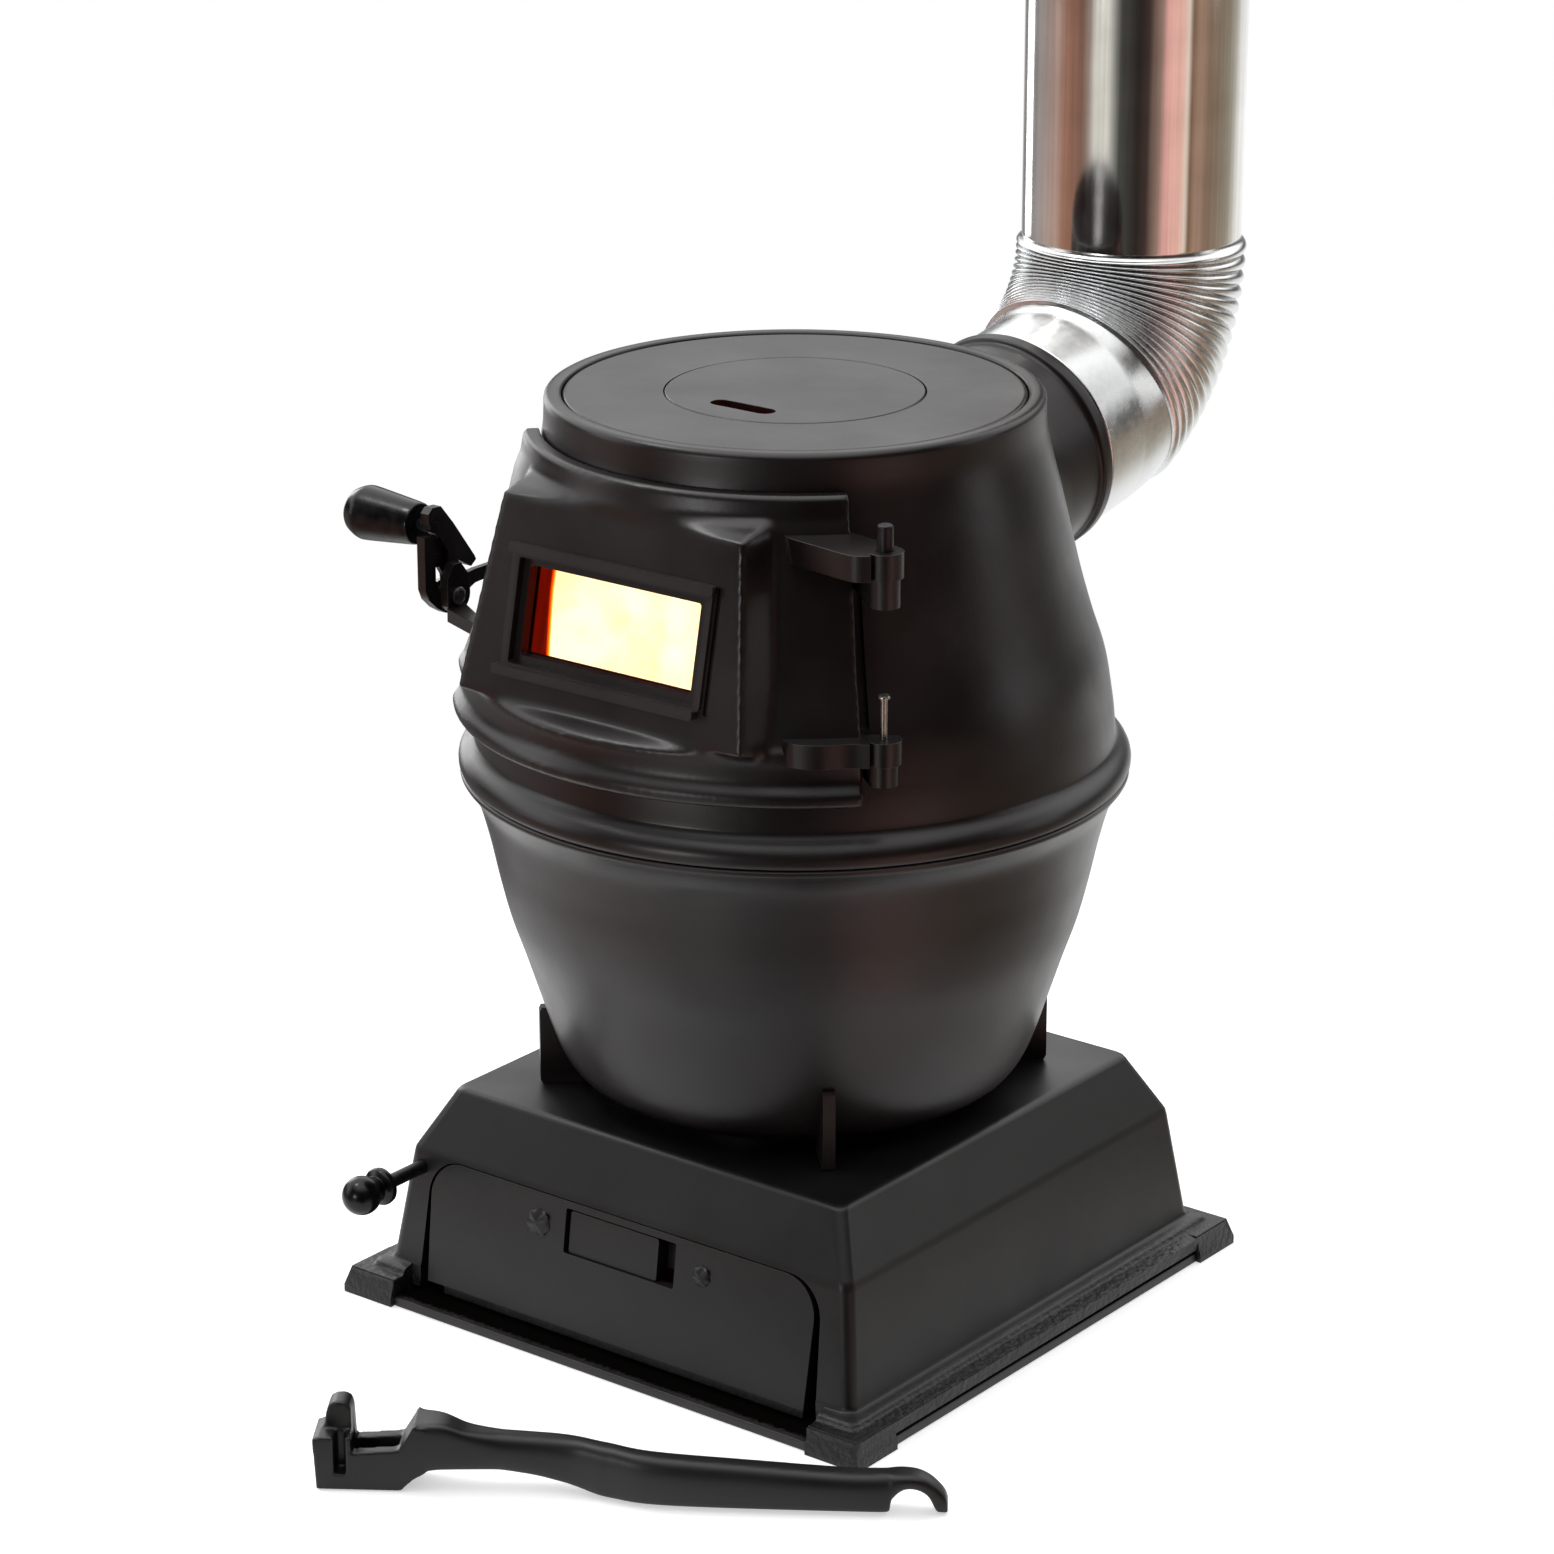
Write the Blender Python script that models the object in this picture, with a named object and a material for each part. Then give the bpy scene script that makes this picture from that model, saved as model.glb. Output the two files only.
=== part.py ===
"""Pot-bellied camping wood stove with ash drawer, window door, top rings, flue elbow and lifter.

Metres, +Z up. The pot axis is x = y = 0, the front is -Y, the flue leaves at +Y and the floor is z = 0.
"""

import math

import bmesh
import bpy
from mathutils import Matrix, Vector

GAP = 0.0003
WALL = 0.005
AROUND = 54

# Bottom plate and base casting
FLANGE_HALF = 0.1580
FLANGE_BOTTOM_Z = 0.0070
FLANGE_TOP_Z = 0.0129
PLATE_HALF = FLANGE_HALF - 0.0005
PLATE_THICK = 0.0047
FOOT_WIDTH = 0.0280
FOOT_FLARE = 0.0030
FOOT_TOP_HALF = FLANGE_HALF - 0.0010
FOOT_BOTTOM_HALF = FOOT_TOP_HALF + FOOT_FLARE
FOOT_INNER = FOOT_TOP_HALF - FOOT_WIDTH
FOOT_HEIGHT = 0.0138
PAD_WIDTH = 0.0170
PAD_LENGTH = 0.0180
PAD_Y = 0.0700
BEAD_SETBACK = 0.0080
BEAD_HALF = FLANGE_HALF - BEAD_SETBACK
BEAD_TOP_Z = 0.0168
WALL_SETBACK = 0.0067
WALL_FOOT_Z = 0.0182
WALL_FOOT_HALF = BEAD_HALF - WALL_SETBACK
KINK_Z = 0.0760
KINK_LEAN = 0.0079
KINK_HALF = WALL_FOOT_HALF - KINK_LEAN
BASE_TOP_Z = 0.1076
SHOULDER_LEAN = 0.0164
BASE_TOP_HALF = KINK_HALF - SHOULDER_LEAN
FRONT_SLOPE = KINK_LEAN / (KINK_Z - WALL_FOOT_Z)

# Ash drawer
DRAWER_CORNER_POST = 0.0156
DRAWER_TOP_HALF = KINK_HALF - DRAWER_CORNER_POST
DRAWER_TAPER = 0.0013
DRAWER_BOTTOM_HALF = DRAWER_TOP_HALF - DRAWER_TAPER
DRAWER_BOTTOM_Z = 0.0098
DRAWER_TOP_Z = 0.0750
DRAWER_CORNER_R = 0.0180
DRAWER_FRONT_THICK = 0.0055
DRAWER_SIDE_GAP = 0.0014
DRAWER_TOP_GAP = 0.0007
OPENING_TOP_HALF = DRAWER_TOP_HALF + DRAWER_SIDE_GAP
OPENING_FLARE = 0.0028
OPENING_BOTTOM_HALF = OPENING_TOP_HALF + OPENING_FLARE
OPENING_TOP_Z = DRAWER_TOP_Z + DRAWER_TOP_GAP
OPENING_CORNER_R = DRAWER_CORNER_R + DRAWER_SIDE_GAP
PAN_SIDE_INSET = 0.0065
PAN_HALF = DRAWER_BOTTOM_HALF - PAN_SIDE_INSET
PAN_BACK_CLEAR = 0.0044
PAN_BACK_Y = KINK_HALF - WALL - PAN_BACK_CLEAR
PAN_SIDE_Z = 0.0660
PAN_FRONT_Z = 0.0420
PAN_SHEET = 0.0015
WINDOW_HALF = 0.0340
WINDOW_BOTTOM_Z = 0.0490
WINDOW_TOP_Z = 0.0715
SHUTTER_LEFT_X = -0.0440
SHUTTER_RIGHT_X = 0.0225
SHUTTER_THICK = 0.0030
SHUTTER_LIP = 0.0014
GUIDE_THICK = 0.0015
GUIDE_HEIGHT = 0.0120
SHUTTER_STOP_X = 0.0456
RIVET_X = 0.0505
RIVET_Z = 0.0600
RIVET_HEAD_R = 0.0062
RIVET_SHANK_R = 0.0020

# Shaker and grate
SHAKER_INSET = 0.0079
SHAKER_X = SHAKER_INSET - KINK_HALF
SHAKER_Z = 0.0680
SHAKER_ROD_R = 0.0035
SHAKER_COLLAR_R = 0.0095
SHAKER_COLLAR_Y = -0.1660
SHAKER_BALL_R = 0.0097
SHAKER_BALL_Y = -0.1800
SHAKER_EYE_INNER = 0.0048
SHAKER_EYE_OUTER = 0.0030
SHAKER_EYE_THICK = 0.0040
GRATE_R = 0.0800
GRATE_Z = 0.1140
GRATE_THICK = 0.0070
GRATE_STEM_R = 0.0120
GRATE_PIN_R = 0.0020
GRATE_SLOT_WIDTH = 0.0070
GRATE_PITCH = 0.0160
GRATE_RIM = 0.0090
LEVER_THICK = 0.0040
LEVER_BOTTOM_Z = 0.0710
LEVER_TOP_Z = LEVER_BOTTOM_Z + 0.0005 + LEVER_THICK
LEVER_TIP_R = 0.0025

# Pot
POT_BOTTOM_Z = BASE_TOP_Z + GAP
GRATE_LAP = 0.0060
GRATE_ROOM = 0.0012
POT_LEDGE_R = GRATE_R - GRATE_LAP
POT_FOOT_R = GRATE_R + 0.0080
NECK_HOLE_R = POT_LEDGE_R + 0.0020
POT_LEDGE_Z = GRATE_Z - GAP
RIB_OUTER_R = 0.1265
RIB_TOP_Z = 0.1480
RIB_THICK = 0.0060
BAND_R = 0.1623
BAND_Z = 0.2720
POT_PROFILE = (
    (POT_FOOT_R, 0.1120),
    (0.1088, 0.1180),
    (0.1166, 0.1280),
    (0.1200, 0.1380),
    (0.1265, 0.1580),
    (0.1329, 0.1780),
    (0.1401, 0.1980),
    (0.1447, 0.2180),
    (0.1485, 0.2380),
    (0.1543, 0.2580),
    (0.1593, 0.2655),
    (BAND_R, 0.2695),
)

# Upper body
BODY_BOTTOM_Z = BAND_Z + GAP
BODY_PROFILE = (
    (BAND_R, 0.2722),
    (0.1630, 0.2755),
    (0.1620, 0.2800),
    (0.1580, 0.2850),
    (0.1552, 0.2885),
    (0.1534, 0.3080),
    (0.1498, 0.3280),
    (0.1424, 0.3480),
    (0.1369, 0.3680),
    (0.1324, 0.3880),
    (0.1276, 0.4080),
    (0.1220, 0.4280),
    (0.1193, 0.4430),
)
RIM_TOP_Z = 0.4565
RIM_R = 0.1192
RIM_EDGE = 0.0015
SEAT_R = 0.1107
SEAT_LEDGE_R = 0.1030
SEAT_Z = 0.4475
DOORWAY_HALF_ANGLE = math.radians(38.0)
DOORWAY_BOTTOM_Z = 0.3200
DOORWAY_TOP_Z = 0.4260

# Hob ring and centre lid
HOB_THICK = 0.0080
HOB_LEDGE = 0.0060
LID_R = 0.0620
LID_SLOT_HALF = 0.0130
LID_SLOT_WIDTH = 0.0100
LID_SLOT_Y = -0.0400

# Flue
COLLAR_TILT = math.radians(11.0)
COLLAR_Z = 0.3912
COLLAR_MOUTH_Y = 0.1850
COLLAR_R = 0.0560
COLLAR_BORE_R = 0.0525
COLLAR_ROOT = 0.0720
COLLAR_LIP = 0.0025
STUB_R = COLLAR_BORE_R - GAP
STUB_DEPTH = 0.0280
TUBE_SHEET = 0.0010
ELBOW_VALLEY_R = 0.0572
ELBOW_RIB_R = 0.0606
ELBOW_RIBS = 14
ELBOW_SMOOTH = 0.0440
PIPE_Y = 0.2850
PIPE_R = 0.0568
PIPE_TOP_Z = 0.6400
PIPE_LAP = 0.0180

# Door
DOOR_EDGE_ANGLE = math.radians(48.5)
DOOR_SHELL = 0.0060
DOOR_LIP = 0.0070
DOOR_REST = 0.0008
BOX_BOTTOM_Z = 0.3300
BOX_TOP_Z = 0.4210
BOX_BOTTOM_Y = -0.1500
BOX_TOP_Y = -0.1310
BOX_BOTTOM_HALF = 0.0840
BOX_TOP_HALF = 0.0705
BOX_SIDE_RUN = 0.0040
PANE_HALF = 0.0505
PANE_BOTTOM_Z = 0.3505
PANE_TOP_Z = 0.3920
BEZEL_HALF = 0.0590
BEZEL_BOTTOM_Z = 0.3435
BEZEL_TOP_Z = 0.4020
BEZEL_PROUD = 0.0018
GLASS_LAP = 0.0050
GLASS_THICK = 0.0040
RETAINER_THICK = 0.0020
RETAINER_HALF = 0.0640
RETAINER_LAP = 0.0065
SCREW_X = 0.0595
SCREW_R = 0.0016
SCREW_HEAD_R = 0.0034

# Hinge
HINGE_X = 0.1274
HINGE_Y = -0.1001
UPPER_STRAP_Z = 0.4180
UPPER_STRAP_HEIGHT = 0.0150
UPPER_PIN_R = 0.0038
UPPER_PIN_BOTTOM_Z = 0.3970
UPPER_PIN_TOP_Z = 0.4350
LOWER_STRAP_Z = 0.3300
LOWER_STRAP_HEIGHT = 0.0140
LOWER_PIN_R = 0.0017
LOWER_PIN_HEAD_R = 0.0029
LOWER_PIN_BOTTOM_Z = 0.3130
LOWER_PIN_TOP_Z = 0.3550
EYE_OUTLINE = (
    (0.0000, -0.0085),
    (0.0060, -0.0085),
    (0.0105, -0.0060),
    (0.0115, -0.0020),
    (0.0115, 0.0040),
    (0.0095, 0.0075),
    (0.0050, 0.0090),
    (-0.0030, 0.0085),
)
STRAP_CLEAR = 0.0028
STRAP_ROOT_ANGLE = math.radians(38.0)
LUG_HALF = 0.0063

# Latch
LATCH_Y = -0.0840
LATCH_Z = 0.3478
LATCH_EAR_X = -0.1465
LATCH_EAR_THICK = 0.0050
LATCH_LEVER_THICK = 0.0050
LATCH_LEVER_X = LATCH_EAR_X - GAP - LATCH_LEVER_THICK / 2
LATCH_PIN_R = 0.0030
GRIP_Y = -0.0940
GRIP_Z = 0.3835
GRIP_ROOT_X = -0.1560
GRIP_END_X = -0.1970
STUD_R = 0.0030
CATCH_AHEAD = 0.0395
CATCH_BELOW = 0.0084
CATCH_DEPTH = 0.0080

# Lifter, laid on the floor: its heel, its heading, and side outline as (length, height)
LIFTER_X = -0.0274
LIFTER_Y = -0.3252
LIFTER_HEADING = math.radians(34.7)
LIFTER_FRONT = (
    (0.0, 0.060),
    (0.0, 0.113),
    (-0.0055, 0.134),
    (-0.0125, 0.164),
    (-0.0134, 0.256),
    (-0.0100, 0.291),
)
LIFTER_BACK = (
    (0.0220, 0.0),
    (0.0220, 0.044),
    (0.0150, 0.070),
    (0.0145, 0.113),
    (0.0095, 0.134),
    (0.0030, 0.164),
    (0.0020, 0.256),
    (0.0000, 0.291),
)
LIFTER_TOP = (
    (0.2910, 0.0030),
    (0.2885, 0.0110),
    (0.2810, 0.0180),
    (0.2700, 0.0205),
    (0.2450, 0.0200),
    (0.1900, 0.0205),
    (0.1300, 0.0215),
    (0.0900, 0.0235),
    (0.0720, 0.0260),
    (0.0600, 0.0325),
    (0.0470, 0.0330),
    (0.0400, 0.0210),
    (0.0180, 0.0190),
    (0.0160, 0.0390),
    (0.0080, 0.0400),
    (0.0050, 0.0370),
    (0.0045, 0.0270),
    (0.0000, 0.0255),
)
LIFTER_BOTTOM = (
    (0.0015, 0.0),
    (0.0400, 0.0),
    (0.0460, 0.0060),
    (0.0550, 0.0100),
    (0.0800, 0.0105),
    (0.1000, 0.0080),
    (0.1130, 0.0050),
    (0.1340, 0.0004),
    (0.1640, 0.0),
    (0.2560, 0.0),
    (0.2620, 0.0040),
    (0.2690, 0.0115),
    (0.2750, 0.0125),
    (0.2810, 0.0090),
    (0.2845, 0.0020),
    (0.2860, 0.0),
    (0.2900, 0.0),
)


def clear_scene():
    """Remove every object of the startup scene."""
    for item in list(bpy.data.objects):
        bpy.data.objects.remove(item, do_unlink=True)


def linear(channel):
    """Return one sRGB channel, 0 to 1, as linear light."""
    return channel / 12.92 if channel <= 0.04045 else ((channel + 0.055) / 1.055) ** 2.4


def finish(name, colour, roughness, metallic):
    """Make one Principled material from an sRGB hex colour."""
    made = bpy.data.materials.new(name)
    made.use_nodes = True
    shader = made.node_tree.nodes["Principled BSDF"]
    rgb = [linear(int(colour[i : i + 2], 16) / 255) for i in (0, 2, 4)]
    shader.inputs["Base Color"].default_value = (*rgb, 1.0)
    shader.inputs["Roughness"].default_value = roughness
    shader.inputs["Metallic"].default_value = metallic
    made.diffuse_color = (*rgb, 1.0)
    return made


def pivot(name, x, y, z):
    """Make an empty on the axis that its pieces turn about or slide along."""
    made = bpy.data.objects.new(name, None)
    made.location = (x, y, z)
    made.empty_display_size = 0.02
    bpy.context.scene.collection.objects.link(made)
    return made


def solid(name, points, faces, surface, parent=None):
    """Make a closed mesh object from world points. Its origin is the parent's."""
    offset = parent.location.copy() if parent else Vector((0, 0, 0))
    mesh = bpy.data.meshes.new(name)
    mesh.from_pydata([Vector(p) - offset for p in points], [], faces)
    shape = bmesh.new()
    shape.from_mesh(mesh)
    bmesh.ops.recalc_face_normals(shape, faces=shape.faces)
    shape.to_mesh(mesh)
    shape.free()
    if surface:
        mesh.materials.append(surface)
    made = bpy.data.objects.new(name, mesh)
    made.parent = parent
    bpy.context.scene.collection.objects.link(made)
    return made


def combine(target, other, operation):
    """Join or cut target with a helper, which is then hidden."""
    if target.parent:
        other.location = -target.parent.location
        other.parent = target.parent
    step = target.modifiers.new(operation.title(), "BOOLEAN")
    step.operation = operation
    step.solver = "EXACT"
    step.object = other
    other.hide_render = True
    other.display_type = "WIRE"


def cut(target, other):
    """Cut the helper from the target."""
    combine(target, other, "DIFFERENCE")


def join(target, other):
    """Join the helper to the target."""
    combine(target, other, "UNION")


def soften(target, width, segments=1):
    """Break the sharp edges with a bevel."""
    step = target.modifiers.new("Bevel", "BEVEL")
    step.width = width
    step.segments = segments
    step.limit_method = "ANGLE"
    step.angle_limit = math.radians(40)


def skin(rings, closed):
    """Return points and faces through rings of equal length, capped or closed on themselves."""
    count = len(rings[0])
    points = [p for ring in rings for p in ring]
    faces = []
    for i in range(len(rings) if closed else len(rings) - 1):
        near = i * count
        far = (i + 1) % len(rings) * count
        for j in range(count):
            k = (j + 1) % count
            faces.append((near + j, near + k, far + k, far + j))
    if not closed:
        faces.append(tuple(range(count)))
        faces.append(tuple(range(len(points) - count, len(points))))
    return points, faces


def circle(r, z, around=AROUND):
    """Return a level ring of points about the pot axis."""
    turn = 2 * math.pi / around
    return [(r * math.cos(i * turn), r * math.sin(i * turn), z) for i in range(around)]


def revolved(name, profile, surface, closed, parent=None, around=AROUND, place=None):
    """Turn a profile of (radius, height) about Z, then place it with a matrix."""
    points, faces = skin([circle(r, z, around) for r, z in profile], closed)
    if place:
        points = [place @ Vector(p) for p in points]
    return solid(name, points, faces, surface, parent)


def prism(name, outline, low, high, surface=None, parent=None, lift=None):
    """Extrude a flat outline. The lift function turns (a, b, height) into a world point."""
    lift = lift or (lambda a, b, h: (a, b, h))
    rings = [[lift(a, b, h) for a, b in outline] for h in (low, high)]
    points, faces = skin(rings, False)
    return solid(name, points, faces, surface, parent)


def upright(a, b, h):
    """Return the world point at radius a, height b and distance h beside the XZ plane."""
    return (a, h, b)


def sideways(a, b, h):
    """Return the world point at y a, height b and x h."""
    return (h, a, b)


def block(name, low, high, surface=None, parent=None):
    """Make a box from its two opposite corners."""
    outline = [(low[0], low[1]), (high[0], low[1]), (high[0], high[1]), (low[0], high[1])]
    return prism(name, outline, low[2], high[2], surface, parent)


def arc(x, y, r, start, end, steps):
    """Return points of an arc between two angles in degrees."""
    angles = [math.radians(start + (end - start) * i / steps) for i in range(steps + 1)]
    return [(x + r * math.cos(a), y + r * math.sin(a)) for a in angles]


def along(axis, x, y, z):
    """Return the matrix that puts local Z on a world direction, at a point."""
    turn = Vector((0, 0, 1)).rotation_difference(Vector(axis))
    return Matrix.Translation((x, y, z)) @ turn.to_matrix().to_4x4()


def level(profile, z):
    """Return the radius of a profile of (radius, height) at a height."""
    for (r0, z0), (r1, z1) in zip(profile, profile[1:]):
        if z0 <= z <= z1:
            return r0 + (r1 - r0) * (z - z0) / (z1 - z0)
    return profile[0][0] if z < profile[0][1] else profile[-1][0]


def square_ring(half, corner, z, steps=3):
    """Return a level square of points with rounded corners."""
    near = half - corner
    ring = []
    for x, y, start in ((near, near, 0), (-near, near, 90), (-near, -near, 180), (near, -near, 270)):
        ring += [(a, b, z) for a, b in arc(x, y, corner, start, start + 90, steps)]
    return ring


def wall_half(z):
    """Return the half side of the base wall at a height below the kink."""
    return WALL_FOOT_HALF - FRONT_SLOPE * (z - WALL_FOOT_Z)


def on_front(a, b, h):
    """Return the world point at width a and height b, set back by h from the sloping front wall."""
    return (a, h - wall_half(b), b)


def arched(top_half, bottom_half, bottom_z, top_z, corner):
    """Return a tapered outline whose two top corners are round."""
    side = math.degrees(math.atan2(bottom_half - top_half, top_z - bottom_z))
    right = arc(top_half - corner, top_z - corner, corner, side, 90, 5)
    left = [(-x, z) for x, z in reversed(right)]
    return [(-bottom_half, bottom_z), (bottom_half, bottom_z)] + right + left


def build_floor_plate(iron):
    """Build the bottom plate, whose corners are notched round the feet."""
    inner = FOOT_INNER - GAP
    outline = []
    for sx, sy in ((1, 1), (-1, 1), (-1, -1), (1, -1)):
        notch = [(sx * PLATE_HALF, sy * inner), (sx * inner, sy * inner), (sx * inner, sy * PLATE_HALF)]
        outline += notch if sx * sy > 0 else notch[::-1]
    prism("floor_plate", outline, 0.0, PLATE_THICK, iron)


def build_feet(base):
    """Join the four flared corner feet and the pads that rest on the bottom plate."""
    for index, (sx, sy) in enumerate(((1, 1), (-1, 1), (-1, -1), (1, -1))):
        rings = []
        for half, z in ((FOOT_BOTTOM_HALF, 0.0), (FOOT_BOTTOM_HALF, 0.004), (FOOT_TOP_HALF, FOOT_HEIGHT)):
            a = FOOT_INNER
            rings.append([(sx * p, sy * q, z) for p, q in ((a, a), (half, a), (half, half), (a, half))])
        points, faces = skin(rings, False)
        join(base, solid(f"foot_shape_{index}", points, faces, None))
    pad_x = BEAD_HALF + 0.001 - PAD_WIDTH / 2
    for index, (sx, sy) in enumerate(((1, 1), (-1, 1), (-1, -1), (1, -1))):
        low = (sx * pad_x - PAD_WIDTH / 2, sy * PAD_Y - PAD_LENGTH / 2, PLATE_THICK + GAP)
        high = (sx * pad_x + PAD_WIDTH / 2, sy * PAD_Y + PAD_LENGTH / 2, FLANGE_TOP_Z - 0.0011)
        join(base, block(f"pad_shape_{index}", low, high))


def build_base(iron):
    """Build the hollow base: flange, bead, sloping walls, kink and top, open at the bottom and front."""
    outer = (
        (FLANGE_HALF, FLANGE_BOTTOM_Z, 0.004),
        (FLANGE_HALF, FLANGE_TOP_Z, 0.004),
        (BEAD_HALF, 0.0142, 0.005),
        (BEAD_HALF - 0.0008, BEAD_TOP_Z, 0.005),
        (BEAD_HALF - 0.0040, WALL_FOOT_Z - 0.0004, 0.006),
        (WALL_FOOT_HALF, WALL_FOOT_Z + 0.0006, 0.006),
        (KINK_HALF, KINK_Z, 0.006),
        (BASE_TOP_HALF, BASE_TOP_Z, 0.006),
    )
    inner = (
        (BASE_TOP_HALF - 0.6 * WALL, BASE_TOP_Z - WALL, 0.004),
        (KINK_HALF - WALL, KINK_Z - 0.0005, 0.004),
        (WALL_FOOT_HALF - WALL, FLANGE_BOTTOM_Z, 0.004),
    )
    rings = [square_ring(half, corner, z) for half, z, corner in inner + outer]
    points, faces = skin(rings, False)
    base = solid("base_casting", points, faces, iron)
    build_feet(base)
    opening = arched(OPENING_TOP_HALF, OPENING_BOTTOM_HALF, -0.002, OPENING_TOP_Z, OPENING_CORNER_R)
    cut(base, prism("drawer_opening_cutter", opening, -0.030, 0.030, lift=on_front))
    near = FOOT_INNER - GAP
    low = (-near, -FLANGE_HALF - 0.012, -0.002)
    cut(base, block("front_flange_cutter", low, (near, -BEAD_HALF + 0.0062, WALL_FOOT_Z + 0.0013)))
    neck = [(NECK_HOLE_R, BASE_TOP_Z - 0.02), (NECK_HOLE_R, BASE_TOP_Z + 0.02)]
    cut(base, revolved("neck_cutter", neck, None, False))
    rod = [(SHAKER_ROD_R + GAP, -0.025), (SHAKER_ROD_R + GAP, 0.025)]
    place = along((0, 1, 0), SHAKER_X, -wall_half(SHAKER_Z), SHAKER_Z)
    cut(base, revolved("rod_hole_cutter", rod, None, False, around=24, place=place))


def build_pot(iron):
    """Build the lower pot with its grate ledge, flared rim and four corner ribs."""
    inner = [(r - WALL, z) for r, z in POT_PROFILE[1:-2]]
    inner.append((BAND_R - 0.0105, 0.2680))
    profile = [(POT_LEDGE_R, POT_BOTTOM_Z), (POT_FOOT_R, POT_BOTTOM_Z)] + list(POT_PROFILE)
    profile += [(BAND_R, 0.2710), (BAND_R - 0.0010, BAND_Z), (BAND_R - 0.0100, BAND_Z)]
    profile += inner[::-1]
    bore = GRATE_R + GRATE_ROOM
    profile += [(bore, POT_LEDGE_Z + 0.0020), (bore, POT_LEDGE_Z), (POT_LEDGE_R, POT_LEDGE_Z)]
    pot = revolved("lower_pot", profile, iron, True)
    heights = [POT_BOTTOM_Z + 0.0002, 0.1180, 0.1280, 0.1380, RIB_TOP_Z]
    back = [(level(POT_PROFILE, z) - 0.5 * WALL, z) for z in heights]
    outline = [(RIB_OUTER_R - 0.0010, heights[0]), (RIB_OUTER_R, 0.1100), (RIB_OUTER_R, RIB_TOP_Z - 0.0020)]
    outline += back[::-1]
    for index in range(4):
        turn = Matrix.Rotation(math.radians(45 + 90 * index), 4, "Z")
        rib = prism(f"rib_shape_{index}", outline, -RIB_THICK / 2, RIB_THICK / 2, lift=upright)
        rib.data.transform(turn)
        join(pot, rib)


def build_collar(body):
    """Join the tilted flue collar to the back of the body and bore it."""
    place = along((0, math.cos(COLLAR_TILT), math.sin(COLLAR_TILT)), 0, COLLAR_MOUTH_Y, COLLAR_Z)
    outer = [
        (COLLAR_R, -COLLAR_ROOT),
        (COLLAR_R, -0.0090),
        (COLLAR_R + COLLAR_LIP, -0.0070),
        (COLLAR_R + COLLAR_LIP, -0.0010),
        (COLLAR_R + COLLAR_LIP - 0.0010, 0.0),
    ]
    join(body, revolved("collar_shape", outer, None, False, around=40, place=place))
    bore = [(COLLAR_BORE_R, -COLLAR_ROOT - 0.012), (COLLAR_BORE_R, 0.010)]
    cut(body, revolved("collar_bore_cutter", bore, None, False, around=40, place=place))


def build_doorway(body):
    """Cut the fire doorway through the front of the body."""
    half = DOORWAY_HALF_ANGLE
    angles = [-math.pi / 2 - half + 2 * half * i / 6 for i in range(7)]
    rings = []
    for r in (0.070, 0.200):
        low = [(r * math.cos(a), r * math.sin(a), DOORWAY_BOTTOM_Z) for a in angles]
        high = [(r * math.cos(a), r * math.sin(a), DOORWAY_TOP_Z) for a in angles]
        rings.append(low + high[::-1])
    points, faces = skin(rings, False)
    cut(body, solid("doorway_cutter", points, faces, None))


def lug_outline(reach, half, r):
    """Return the outline of a lug from the pot side to a round end on the hinge axis."""
    heading = math.atan2(HINGE_Y, HINGE_X)
    ux, uy = math.cos(heading), math.sin(heading)
    tip = arc(0, 0, r, -90, 90, 6)
    flat = [(-reach, -half)] + [(x, y) for x, y in tip] + [(-reach, half)]
    return [(HINGE_X + a * ux - b * uy, HINGE_Y + a * uy + b * ux) for a, b in flat]


def build_lugs(body):
    """Join the two hinge lugs and the latch catch to the body."""
    upper_top = UPPER_STRAP_Z - UPPER_STRAP_HEIGHT / 2 - GAP
    upper = lug_outline(0.0385, LUG_HALF, LUG_HALF + 0.0008)
    join(body, prism("upper_lug_shape", upper, UPPER_PIN_BOTTOM_Z, upper_top))
    lower_top = LOWER_STRAP_Z - LOWER_STRAP_HEIGHT / 2 - GAP
    lower = lug_outline(0.0150, LUG_HALF, LUG_HALF + 0.0008)
    join(body, prism("lower_lug_shape", lower, LOWER_PIN_BOTTOM_Z, lower_top))
    bores = (("upper_bore", UPPER_PIN_R, UPPER_PIN_BOTTOM_Z), ("lower_bore", LOWER_PIN_R, LOWER_PIN_BOTTOM_Z))
    for name, r, z in bores:
        hole = [(r + GAP, -0.004), (r + GAP, 0.020)]
        place = Matrix.Translation((HINGE_X, HINGE_Y, z))
        cut(body, revolved(f"{name}_cutter", hole, None, False, around=24, place=place))
    y, z = LATCH_Y + CATCH_AHEAD, LATCH_Z - CATCH_BELOW
    catch = [(y, z - 0.0130), (y, z - 0.0020), (y + 0.0020, z), (y + CATCH_DEPTH, z), (y + CATCH_DEPTH, z - 0.0130)]
    reach = LATCH_LEVER_X - LATCH_LEVER_THICK / 2 - 0.0010
    join(body, prism("catch_shape", catch, reach, reach + 0.0220, lift=sideways))


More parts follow.
